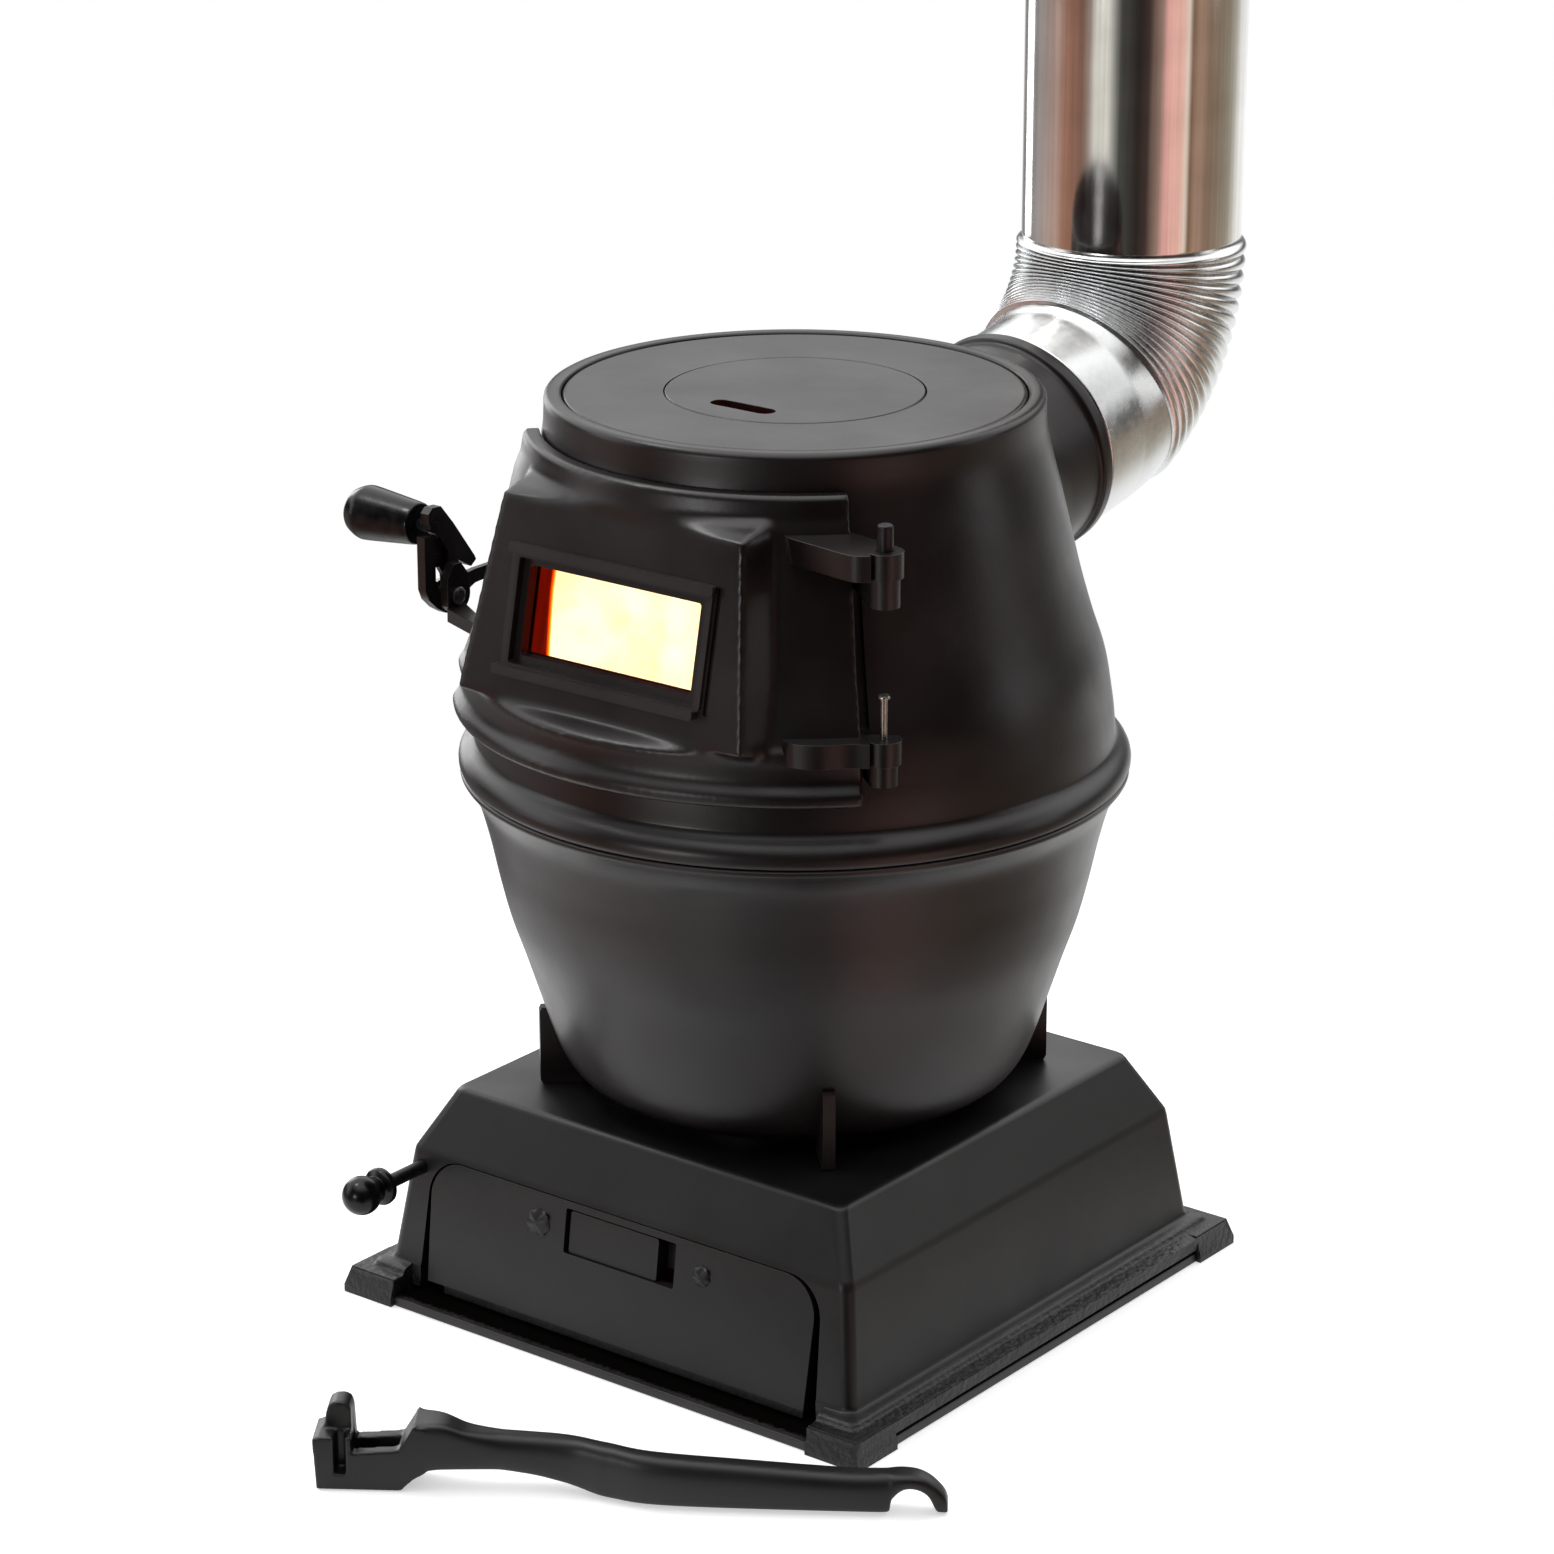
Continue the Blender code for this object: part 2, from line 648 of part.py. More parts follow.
def build_body(iron):
    """Build the upper body with its bottom bead, tapering wall and seat for the hob ring."""
    outer = [(BAND_R - 0.0100, BODY_BOTTOM_Z), (BAND_R - 0.0010, BODY_BOTTOM_Z)] + list(BODY_PROFILE[1:])
    outer += [(RIM_R, RIM_TOP_Z - RIM_EDGE), (RIM_R - RIM_EDGE, RIM_TOP_Z)]
    seat = [(SEAT_R + 0.0005, RIM_TOP_Z), (SEAT_R, RIM_TOP_Z - 0.0005), (SEAT_R, SEAT_Z), (SEAT_LEDGE_R, SEAT_Z)]
    inner = [(SEAT_LEDGE_R, SEAT_Z - WALL)] + [(r - WALL, z) for r, z in BODY_PROFILE[4:-1]][::-1]
    body = revolved("upper_body", outer + seat + inner, iron, True)
    build_collar(body)
    build_doorway(body)
    build_lugs(body)


def build_hob(iron, ring_slide, lid_slide):
    """Build the loose hob ring and its centre lid with the slot for the lifter."""
    top = SEAT_Z + GAP + HOB_THICK
    low = SEAT_Z + GAP
    ledge_z = low + 0.45 * HOB_THICK
    outer_r = SEAT_R - GAP
    lid_outer = LID_R
    bore = lid_outer + GAP
    ring = [
        (bore - HOB_LEDGE, low),
        (outer_r, low),
        (outer_r, top - 0.0008),
        (outer_r - 0.0008, top),
        (bore, top),
        (bore, ledge_z),
        (bore - HOB_LEDGE, ledge_z),
    ]
    revolved("hob_ring", ring, iron, True, ring_slide, 48)
    lid = [
        (bore - HOB_LEDGE - 0.0006, low),
        (bore - HOB_LEDGE - 0.0006, ledge_z + GAP),
        (lid_outer, ledge_z + GAP),
        (lid_outer, top - 0.0008),
        (lid_outer - 0.0008, top),
    ]
    made = revolved("hob_lid", lid, iron, False, lid_slide, 48)
    half, w = LID_SLOT_HALF, LID_SLOT_WIDTH / 2
    outline = arc(half, LID_SLOT_Y, w, -90, 90, 4) + arc(-half, LID_SLOT_Y, w, 90, 270, 4)
    cut(made, prism("lid_slot_cutter", outline, low - 0.004, top + 0.004))


def elbow_path():
    """Return (centre, direction, radius) along the elbow, from inside the collar up into the pipe."""
    tilt = COLLAR_TILT
    mouth = Vector((0, COLLAR_MOUTH_Y, COLLAR_Z))
    ahead = Vector((0, math.cos(tilt), math.sin(tilt)))
    up = Vector((0, -math.sin(tilt), math.cos(tilt)))
    stations = []
    for s, r in ((-STUB_DEPTH, STUB_R), (0.0015, STUB_R), (0.0035, COLLAR_R), (ELBOW_SMOOTH - 0.004, COLLAR_R)):
        stations.append((mouth + ahead * s, ahead, r))
    start = mouth + ahead * ELBOW_SMOOTH
    sweep = math.pi / 2 - tilt
    bend = (PIPE_Y - start.y) / (1 - math.sin(tilt))
    centre = start + up * bend
    halves = 2 * ELBOW_RIBS
    for i in range(halves + 1):
        a = sweep * i / halves
        heading = ahead * math.cos(a) + up * math.sin(a)
        r = ELBOW_RIB_R if i % 2 else ELBOW_VALLEY_R
        stations.append((centre + ahead * bend * math.sin(a) - up * bend * math.cos(a), heading, r))
    end = stations[-1][0]
    rise = Vector((0, 0, 1))
    inside = PIPE_R - TUBE_SHEET - GAP
    stations.append((Vector((0, end.y, end.z + 0.004)), rise, inside))
    stations.append((Vector((0, end.y, end.z + 0.004 + PIPE_LAP)), rise, inside))
    return stations


def ring_at(centre, heading, r, around):
    """Return a ring square to a heading in the YZ plane."""
    side = Vector((1, 0, 0))
    rise = heading.cross(side) * -1
    turn = 2 * math.pi / around
    return [centre + (side * math.cos(i * turn) + rise * math.sin(i * turn)) * r for i in range(around)]


def build_elbow(steel):
    """Build the corrugated elbow with its plain bore."""
    around = 34
    stations = elbow_path()
    outside = [ring_at(c, h, r, around) for c, h, r in stations]
    plain = [0, 1] + list(range(4, len(stations) - 2, 4)) + [len(stations) - 2, len(stations) - 1]
    bore = min(STUB_R, PIPE_R - TUBE_SHEET - GAP) - TUBE_SHEET
    inside = [ring_at(stations[i][0], stations[i][1], bore, around) for i in reversed(plain)]
    points, faces = skin(outside + inside, True)
    solid("flue_elbow", points, faces, steel)


def build_pipe(steel):
    """Build the straight flue pipe over the end of the elbow."""
    bottom = elbow_path()[-2][0].z + 0.0010
    inner = PIPE_R - TUBE_SHEET
    profile = [(inner, bottom), (PIPE_R, bottom), (PIPE_R, PIPE_TOP_Z), (inner, PIPE_TOP_Z)]
    revolved("flue_pipe", profile, steel, True, around=40, place=Matrix.Translation((0, PIPE_Y, 0)))


def build_grate(iron, turntable):
    """Build the slotted grate with its stem, lever and lever pin in one casting."""
    top = GRATE_Z + GRATE_THICK
    profile = [
        (GRATE_STEM_R, LEVER_BOTTOM_Z),
        (GRATE_STEM_R, GRATE_Z),
        (GRATE_R, GRATE_Z),
        (GRATE_R, top - 0.001),
        (GRATE_R - 0.001, top),
    ]
    grate = revolved("grate", profile, iron, False, turntable, 48)
    tip = arc(SHAKER_X, 0, LEVER_TIP_R, 90, 270, 6)
    lever = [(0.0, 0.006), *tip, (0.0, -0.006)]
    join(grate, prism("grate_lever_shape", lever, LEVER_BOTTOM_Z + 0.0005, LEVER_TOP_Z))
    pin = [(GRATE_PIN_R, SHAKER_Z - SHAKER_EYE_THICK), (GRATE_PIN_R, LEVER_TOP_Z - 0.002)]
    join(grate, revolved("grate_pin_shape", pin, None, False, around=16, place=Matrix.Translation((SHAKER_X, 0, 0))))
    w = GRATE_SLOT_WIDTH / 2
    for index, x in enumerate(side * step * GRATE_PITCH for side in (-1, 1) for step in (1.5, 2.5, 3.5)):
        half = math.sqrt((GRATE_R - GRATE_RIM) ** 2 - (abs(x) + w) ** 2)
        low, high = (x - w, -half, GRATE_Z - 0.004), (x + w, half, top + 0.004)
        cut(grate, block(f"grate_slot_cutter_{index}", low, high))
    reach = math.sqrt((GRATE_R - GRATE_RIM) ** 2 - (GRATE_PITCH / 2 + w) ** 2)
    root = GRATE_STEM_R + GRATE_RIM / 2
    for index, (side, forth) in enumerate(((-1, -1), (1, -1), (-1, 1), (1, 1))):
        x = side * GRATE_PITCH / 2
        near, far = sorted((forth * root, forth * reach))
        low, high = (x - w, near, GRATE_Z - 0.004), (x + w, far, top + 0.004)
        cut(grate, block(f"grate_middle_cutter_{index}", low, high))


def build_shaker(steel, black, slide):
    """Build the shaker rod with its flat eye, and the ball knob with its collar."""
    place = along((0, 1, 0), SHAKER_X, 0, SHAKER_Z)
    r = SHAKER_ROD_R
    stop = SHAKER_BALL_Y
    rod = revolved("shaker_rod", [(r, stop), (r, 0.004)], steel, False, slide, 24, place)
    t = SHAKER_EYE_THICK / 2
    left, right = SHAKER_X - SHAKER_EYE_OUTER, SHAKER_X + SHAKER_EYE_INNER
    eye = [(left, -0.005), (right, -0.005), (right, 0.007), (left, 0.007)]
    join(rod, prism("eye_shape", eye, SHAKER_Z - t, SHAKER_Z + t))
    wide = SHAKER_ROD_R + 0.003
    for side, z in (("under", SHAKER_Z - 0.01), ("over", SHAKER_Z + t)):
        low, high = (SHAKER_X - wide, -0.0030, z), (SHAKER_X + wide, 0.0060, z + 0.01 - t)
        cut(rod, block(f"eye_{side}_cutter", low, high))
    w = GRATE_PIN_R + GAP
    slot = arc(SHAKER_X + 0.0012, 0, w, -90, 90, 4) + arc(SHAKER_X, 0, w, 90, 270, 4)
    cut(rod, prism("eye_slot_cutter", slot, SHAKER_Z - 0.012, SHAKER_Z + 0.012))
    ball = SHAKER_BALL_R
    profile = [(ball * math.cos(math.radians(a)), ball * math.sin(math.radians(a)) + stop) for a in range(-75, 46, 15)]
    profile = [(0.0008, stop - ball)] + profile
    profile += [(0.0060, SHAKER_COLLAR_Y - 0.0040), (SHAKER_COLLAR_R, SHAKER_COLLAR_Y - 0.0025)]
    profile += [(SHAKER_COLLAR_R, SHAKER_COLLAR_Y + 0.0020), (0.0055, SHAKER_COLLAR_Y + 0.0035)]
    profile += [(r + GAP, SHAKER_COLLAR_Y + 0.0035), (r + GAP, stop - GAP), (0.0004, stop - GAP)]
    revolved("shaker_knob", profile, black, False, slide, 24, place)


def door_radius(z):
    """Return the radius of the door's rim back face, just clear of the body."""
    return level(BODY_PROFILE, z) + DOOR_REST


DOOR_SECTIONS = (
    # height, outer radius of the curved section, share of the flat window box
    (0.3020, 0.1625, 0.0),
    (0.3045, 0.1650, 0.0),
    (0.3085, 0.1652, 0.0),
    (0.3130, 0.1618, 0.0),
    (0.3200, 0.1608, 0.0),
    (0.3245, 0.1620, 0.0),
    (0.3262, 0.1620, 0.18),
    (0.3280, 0.1612, 0.55),
    (0.3296, 0.1602, 0.88),
    (0.3312, 0.1590, 1.0),
    (0.3600, 0.1490, 1.0),
    (0.3900, 0.1415, 1.0),
    (0.4200, 0.1340, 1.0),
    (0.4228, 0.1332, 0.90),
    (0.4250, 0.1324, 0.60),
    (0.4270, 0.1316, 0.22),
    (0.4300, 0.1304, 0.0),
    (0.4350, 0.1295, 0.0),
    (0.4378, 0.1290, 0.0),
    (0.4395, 0.1272, 0.0),
)


def box_half(z):
    """Return the half width of the window box at a height."""
    share = (z - BOX_BOTTOM_Z) / (BOX_TOP_Z - BOX_BOTTOM_Z)
    return BOX_BOTTOM_HALF + (BOX_TOP_HALF - BOX_BOTTOM_HALF) * share


def box_y(z):
    """Return the y of the leaning window face at a height."""
    share = (z - BOX_BOTTOM_Z) / (BOX_TOP_Z - BOX_BOTTOM_Z)
    return BOX_BOTTOM_Y + (BOX_TOP_Y - BOX_BOTTOM_Y) * share


def polar(angle, r):
    """Return (x, y) at an angle measured from the front."""
    return (r * math.sin(angle), -r * math.cos(angle))


def door_row(z, r, share, inset):
    """Return one plan section of the door shell from left to right, set in by a distance."""
    edge = DOOR_EDGE_ANGLE
    flat_half = box_half(z) - inset
    corner = math.asin(min(0.95, (box_half(z) + BOX_SIDE_RUN) / r))
    right = []
    for t in (0.0, 0.2, 0.4, 0.6, 0.8, 1.0):
        right.append(((flat_half * t, box_y(z) + inset), polar(corner * 0.92 * t, r - inset)))
    depth = -r * math.cos(corner)
    for t in (0.10, 0.55, 0.95):
        angle = corner * (0.92 + 0.08 * t)
        x = flat_half + (BOX_SIDE_RUN + inset * 0.2) * t
        y = box_y(z) + inset + (depth - box_y(z)) * t
        right.append(((x, y), polar(angle, r - inset)))
    for t in (0.25, 0.60):
        angle = corner + (edge - corner) * t
        flat = polar(angle, r - inset)
        right.append((flat, flat))
    row = [(f[0] * share + c[0] * (1 - share), f[1] * share + c[1] * (1 - share)) for f, c in right]
    mirrored = [(-x, y) for x, y in reversed(row[1:])]
    return [(x, y, z) for x, y in mirrored + row]


def door_grids():
    """Return the outer and inner point grids of the door shell, which share their rim layout."""
    edge = DOOR_EDGE_ANGLE
    outer, inner = [], []
    last = len(DOOR_SECTIONS) - 1
    for index, (z, r, share) in enumerate(DOOR_SECTIONS):
        back = door_radius(z)
        lip = DOOR_LIP / r
        ends = [edge - lip, edge]
        front = door_row(z, r, share, 0.0)
        behind = door_row(z, r, share, DOOR_SHELL)
        if index in (0, 1, last - 1, last):
            behind = [(*[c * back / math.hypot(x, y) for c in (x, y)], z) for x, y, z in front]
        rim_out = [(*polar(a, r - (0.0015 if a == edge else 0)), z) for a in ends]
        rim_in = [(*polar(a, back), z) for a in ends]
        mirror_out = [(-x, y, z) for x, y, z in reversed(rim_out)]
        mirror_in = [(-x, y, z) for x, y, z in reversed(rim_in)]
        outer.append(mirror_out + front + rim_out)
        inner.append(mirror_in + behind + rim_in)
    return outer, inner


def on_pane(a, b, h):
    """Return the world point at width a and height b, h in front of the leaning window face."""
    return (a, box_y(b) - h, b)


def frame_outline(half, low, high):
    """Return the four corners of an upright rectangle."""
    return [(-half, low), (half, low), (half, high), (-half, high)]


def build_strap(door, name, z, height, hole_r):
    """Join a hinge strap that runs from the door flange to an eye on the hinge axis."""
    front = level([(r, h) for h, r, _ in DOOR_SECTIONS], z)
    back = level(BODY_PROFILE, z - height / 2) + STRAP_CLEAR
    clear = math.hypot(HINGE_X, HINGE_Y) - level(BODY_PROFILE, z - height / 2) - 2 * GAP
    size = min(1.0, clear / max(math.hypot(a, b) for a, b in EYE_OUTLINE))
    eye = [(HINGE_X + a * size, HINGE_Y + b * size) for a, b in EYE_OUTLINE]
    near, far = STRAP_ROOT_ANGLE, DOOR_EDGE_ANGLE
    outline = [polar(near, front - 0.001), polar(near, front + 0.0025), *eye]
    outline += [polar(far + 0.015, back), polar(far - 0.07, back), polar(near, front - 0.004)]
    join(door, prism(f"{name}_strap_shape", outline, z - height / 2, z + height / 2))
    hole = [(hole_r + GAP, z - 0.02), (hole_r + GAP, z + 0.02)]
    place = Matrix.Translation((HINGE_X, HINGE_Y, 0))
    cut(door, revolved(f"{name}_eye_cutter", hole, None, False, around=24, place=place))


def build_door(iron, hinge):
    """Build the door casting: mouldings, window box, bezel, hinge straps and latch ear."""
    outer, inner = door_grids()
    rings = [front + back[::-1] for front, back in zip(outer, inner)]
    points, faces = skin(rings, False)
    count = len(outer[0])
    faces = faces[:-2]
    for start in (0, len(points) - 2 * count):
        for j in range(count - 1):
            faces.append((start + j, start + j + 1, start + 2 * count - 2 - j, start + 2 * count - 1 - j))
    door = solid("door", points, faces, iron, hinge)
    bezel = frame_outline(BEZEL_HALF, BEZEL_BOTTOM_Z, BEZEL_TOP_Z)
    join(door, prism("bezel_shape", bezel, -0.003, BEZEL_PROUD, lift=on_pane))
    cut(door, prism("pane_cutter", frame_outline(PANE_HALF, PANE_BOTTOM_Z, PANE_TOP_Z), -0.030, 0.010, lift=on_pane))
    build_strap(door, "upper", UPPER_STRAP_Z, UPPER_STRAP_HEIGHT, UPPER_PIN_R)
    build_strap(door, "lower", LOWER_STRAP_Z, LOWER_STRAP_HEIGHT, LOWER_PIN_R)
    y, z = LATCH_Y, LATCH_Z
    inner_x = LATCH_EAR_X + LATCH_EAR_THICK
    ear = arc(y + 0.0005, z, 0.0088, -150, 10, 8) + [(y + 0.0085, z + 0.0090), (y + 0.0030, z + 0.0160)]
    ear += [(y - 0.0025, z + 0.0162), (y - 0.0070, z + 0.0095)]
    join(door, prism("latch_ear_shape", ear, LATCH_EAR_X, inner_x, lift=sideways))
    root_x = inner_x - 0.0010
    bridge = [(root_x, y - 0.0070), (-0.1230, -0.0985), (-0.1120, -0.1030), (-0.1110, -0.0975), (root_x, y + 0.0060)]
    join(door, prism("latch_bridge_shape", bridge, z - 0.0120, z - 0.0052))
    hole = [(LATCH_PIN_R + GAP, -0.02), (LATCH_PIN_R + GAP, 0.02)]
    place = along((1, 0, 0), LATCH_EAR_X, LATCH_Y, LATCH_Z)
    cut(door, revolved("latch_hole_cutter", hole, None, False, around=24, place=place))
    for index, (x, z) in enumerate(screw_places()):
        place = along((0, -1, 0), *on_pane(x, z, -DOOR_SHELL))
        well = [(SCREW_R + GAP, -0.004), (SCREW_R + GAP, 0.0040)]
        cut(door, revolved(f"screw_well_cutter_{index}", well, None, False, around=12, place=place))


def screw_places():
    """Return (x, z) of the four retainer screws."""
    low = PANE_BOTTOM_Z + 0.004
    high = PANE_TOP_Z - 0.004
    return [(-SCREW_X, low), (SCREW_X, low), (SCREW_X, high), (-SCREW_X, high)]


def build_window(clear_glass, iron, steel, hinge):
    """Build the glass pane, its retaining frame and the four screws behind the door face."""
    pane_half = PANE_HALF + GLASS_LAP
    low, high = PANE_BOTTOM_Z - GLASS_LAP, PANE_TOP_Z + GLASS_LAP
    front = -DOOR_SHELL - GAP
    back = front - GLASS_THICK
    prism("window_glass", frame_outline(pane_half, low, high), back, front, clear_glass, hinge, on_pane)
    hold = back - GAP
    rim = frame_outline(RETAINER_HALF, low - 0.001, high + 0.001)
    frame = prism("glass_retainer", rim, hold - RETAINER_THICK, hold, iron, hinge, on_pane)
    lap = RETAINER_LAP - GLASS_LAP
    hole = frame_outline(PANE_HALF - lap, PANE_BOTTOM_Z - lap, PANE_TOP_Z + lap)
    cut(frame, prism("retainer_cutter", hole, hold - 0.012, hold + 0.012, lift=on_pane))
    for index, (x, z) in enumerate(screw_places()):
        place = along((0, -1, 0), *on_pane(x, z, hold - RETAINER_THICK))
        through = [(SCREW_R + GAP, -0.006), (SCREW_R + GAP, 0.008)]
        cut(frame, revolved(f"retainer_hole_cutter_{index}", through, None, False, around=12, place=place))
        reach = GLASS_THICK + RETAINER_THICK + 2 * GAP + 0.0034
        head = -0.0009
        profile = [
            (SCREW_HEAD_R * 0.6, head - 0.0020),
            (SCREW_HEAD_R, head - 0.0010),
            (SCREW_HEAD_R, head),
            (SCREW_R, head),
            (SCREW_R, reach),
        ]
        revolved(f"retainer_screw_{index + 1}", profile, steel, False, hinge, 12, place)


def build_hinge_pins(steel):
    """Build the thick upper hinge pin and the thin headed lower one."""
    place = Matrix.Translation((HINGE_X, HINGE_Y, 0))
    r = UPPER_PIN_R
    upper = [(r, UPPER_PIN_BOTTOM_Z + 0.0005), (r, UPPER_PIN_TOP_Z - 0.0008), (r - 0.0008, UPPER_PIN_TOP_Z)]
    revolved("hinge_pin_upper", upper, steel, False, None, 24, place)
    head = LOWER_PIN_TOP_Z - 0.0016
    lower = [
        (LOWER_PIN_R, LOWER_PIN_BOTTOM_Z + 0.0005),
        (LOWER_PIN_R, head),
        (LOWER_PIN_HEAD_R, head),
        (LOWER_PIN_HEAD_R, LOWER_PIN_TOP_Z),
    ]
    revolved("hinge_pin_lower", lower, steel, False, None, 16, place)


def build_latch(iron, steel, black, hinge, swing):
    """Build the crank lever with its prong and hook, the pivot pin, the stud and the tapered grip."""
    y, z = LATCH_Y, LATCH_Z
    t = LATCH_LEVER_THICK / 2
    outline = arc(y, z, 0.0100, -120, 0, 6)
    outline += [(y + 0.0140, z + 0.0080), (y + 0.0200, z + 0.0130), (GRIP_Y + 0.0060, GRIP_Z + 0.0060)]
    outline += [(GRIP_Y + 0.0010, GRIP_Z + 0.0095), (GRIP_Y - 0.0040, GRIP_Z + 0.0095)]
    outline += [(GRIP_Y - 0.0065, GRIP_Z + 0.0030)]
    outline += [(y - 0.0140, z + 0.0290), (y - 0.0112, z + 0.0040), (y - 0.0085, z - 0.0050)]
    lever = prism("latch_lever", outline, LATCH_LEVER_X - t, LATCH_LEVER_X + t, iron, swing, sideways)
    notch = [(y - 0.0070, z + 0.0265), (y - 0.0050, z + 0.0100), (y - 0.0005, z + 0.0115), (y + 0.0035, z + 0.0165)]
    cut(lever, prism("lever_window_cutter", notch, LATCH_LEVER_X - 0.01, LATCH_LEVER_X + 0.01, lift=sideways))
    far = CATCH_AHEAD + CATCH_DEPTH
    end = y + far
    hook = [(y + 0.0040, z - 0.0060), (y + 0.0200, z + 0.0005), (end + 0.0008, z + 0.0022), (end + 0.0022, z - 0.0010)]
    hook += [(end + 0.0080, z - 0.0004), (end + 0.0078, z + 0.0075), (y + 0.0200, z + 0.0075), (y + 0.0040, z + 0.0060)]
    thin = t - 0.001
    join(lever, prism("hook_shape", hook, LATCH_LEVER_X - thin, LATCH_LEVER_X + thin, lift=sideways))
    hole = [(LATCH_PIN_R + GAP, -0.02), (LATCH_PIN_R + GAP, 0.02)]
    place = along((1, 0, 0), LATCH_LEVER_X, y, z)
    cut(lever, revolved("lever_hole_cutter", hole, None, False, around=24, place=place))
    stud_hole = [(STUD_R + GAP, -0.02), (STUD_R + GAP, 0.02)]
    place = along((1, 0, 0), LATCH_LEVER_X, GRIP_Y, GRIP_Z)
    cut(lever, revolved("stud_hole_cutter", stud_hole, None, False, around=16, place=place))
    outside = LATCH_LEVER_X - t - GAP
    ear_face = LATCH_EAR_X + LATCH_EAR_THICK + GAP
    pin = [
        (0.0050, outside - 0.0035),
        (0.0062, outside - 0.0020),
        (0.0062, outside),
        (LATCH_PIN_R, outside),
        (LATCH_PIN_R, ear_face),
        (0.0044, ear_face),
        (0.0044, ear_face + 0.0008),
        (0.0030, ear_face + 0.0018),
    ]
    revolved("latch_pin", pin, steel, False, hinge, 24, along((1, 0, 0), 0, y, z))
    inside = LATCH_LEVER_X + t + GAP
    stud = [
        (STUD_R, GRIP_END_X + 0.010),
        (STUD_R, inside),
        (0.0050, inside),
        (0.0050, inside + 0.0010),
        (0.0036, inside + 0.0018),
    ]
    axis = along((1, 0, 0), 0, GRIP_Y, GRIP_Z)
    revolved("latch_stud", stud, steel, False, swing, 16, axis)
    bore = STUD_R + GAP
    grip = [
        (0.0060, GRIP_END_X),
        (0.0100, GRIP_END_X + 0.0008),
        (0.0116, GRIP_END_X + 0.0028),
        (0.0126, GRIP_END_X + 0.0080),
        (0.0127, GRIP_END_X + 0.0140),
        (0.0114, GRIP_END_X + 0.0240),
        (0.0097, GRIP_ROOT_X - 0.0040),
        (0.0094, GRIP_ROOT_X - 0.0010),
        (0.0084, GRIP_ROOT_X),
        (bore, GRIP_ROOT_X),
        (bore, GRIP_END_X + 0.010 - GAP),
        (0.0005, GRIP_END_X + 0.010 - GAP),
    ]
    revolved("latch_grip", grip, black, False, swing, 24, axis)


def pan_shape(inset, low, high):
    """Return points and faces of the ash pan, whose front wall leans with the drawer front."""
    half = PAN_HALF - inset
    back = PAN_BACK_Y - inset
    rings = []
    for z in (low, high):
        y = on_front(0, z, DRAWER_FRONT_THICK + GAP + inset)[1]
        rings.append([(-half, y, z), (half, y, z), (half, back, z), (-half, back, z)])
    return skin(rings, False)


def build_drawer(iron, steel, sheet, drawer):
    """Build the drawer front, its sheet pan and the two rivets that hold the shutter guides."""
    outline = arched(DRAWER_TOP_HALF, DRAWER_BOTTOM_HALF, DRAWER_BOTTOM_Z, DRAWER_TOP_Z, DRAWER_CORNER_R)
    front = prism("drawer_front", outline, 0.0, DRAWER_FRONT_THICK, iron, drawer, on_front)
    window = frame_outline(WINDOW_HALF, WINDOW_BOTTOM_Z, WINDOW_TOP_Z)
    cut(front, prism("air_window_cutter", window, -0.010, 0.020, lift=on_front))
    floor = PLATE_THICK + GAP
    sheet_in = PAN_SHEET
    pan = solid("ash_pan", *pan_shape(0.0, floor, PAN_SIDE_Z), sheet, drawer)
    cut(pan, solid("pan_cutter", *pan_shape(sheet_in, floor + sheet_in, PAN_SIDE_Z + 0.03), None))
    low = (sheet_in - PAN_HALF, -0.160, PAN_FRONT_Z)
    cut(pan, block("pan_front_cutter", low, (PAN_HALF - sheet_in, -0.110, PAN_SIDE_Z + 0.04)))
    for index, x in enumerate((-RIVET_X, RIVET_X)):
        place = along((0, 1, -FRONT_SLOPE), *on_front(x, RIVET_Z, 0.0))
        hole = [(RIVET_SHANK_R + GAP, -0.01), (RIVET_SHANK_R + GAP, 0.02)]
        cut(front, revolved(f"rivet_hole_cutter_{index}", hole, None, False, around=16, place=place))
        end = DRAWER_FRONT_THICK + 2 * GAP + GUIDE_THICK
        profile = [
            (0.0030, -0.0022),
            (RIVET_HEAD_R, -0.0012),
            (RIVET_HEAD_R, -0.0008),
            (RIVET_SHANK_R, -0.0008),
            (RIVET_SHANK_R, end),
            (0.0030, end),
            (0.0030, end + 0.0008),
            (0.0024, end + 0.0016),
        ]
        revolved(f"drawer_rivet_{index + 1}", profile, steel, False, drawer, 16, place)


def build_guide(steel, drawer):
    """Build the joggled strap that the rivets hold behind the shutter."""
    t = GUIDE_THICK
    near = DRAWER_FRONT_THICK + GAP
    far = near + SHUTTER_THICK + GAP
    step = SHUTTER_STOP_X
    end = RIVET_X + 0.0075
    right = [(step + t, far + t), (step + t, near + t), (end, near + t), (end, near), (step, near), (step, far)]
    outline = right + [(-x, h) for x, h in reversed(right)]
    low, high = RIVET_Z - GUIDE_HEIGHT / 2, RIVET_Z + GUIDE_HEIGHT / 2
    guide = prism("shutter_guide", outline, low, high, steel, drawer, lambda a, b, h: on_front(a, h, b))
    for index, x in enumerate((-RIVET_X, RIVET_X)):
        place = along((0, 1, -FRONT_SLOPE), *on_front(x, RIVET_Z, 0.0))
        hole = [(RIVET_SHANK_R + GAP, -0.01), (RIVET_SHANK_R + GAP, 0.02)]
        cut(guide, revolved(f"guide_hole_cutter_{index}", hole, None, False, around=16, place=place))


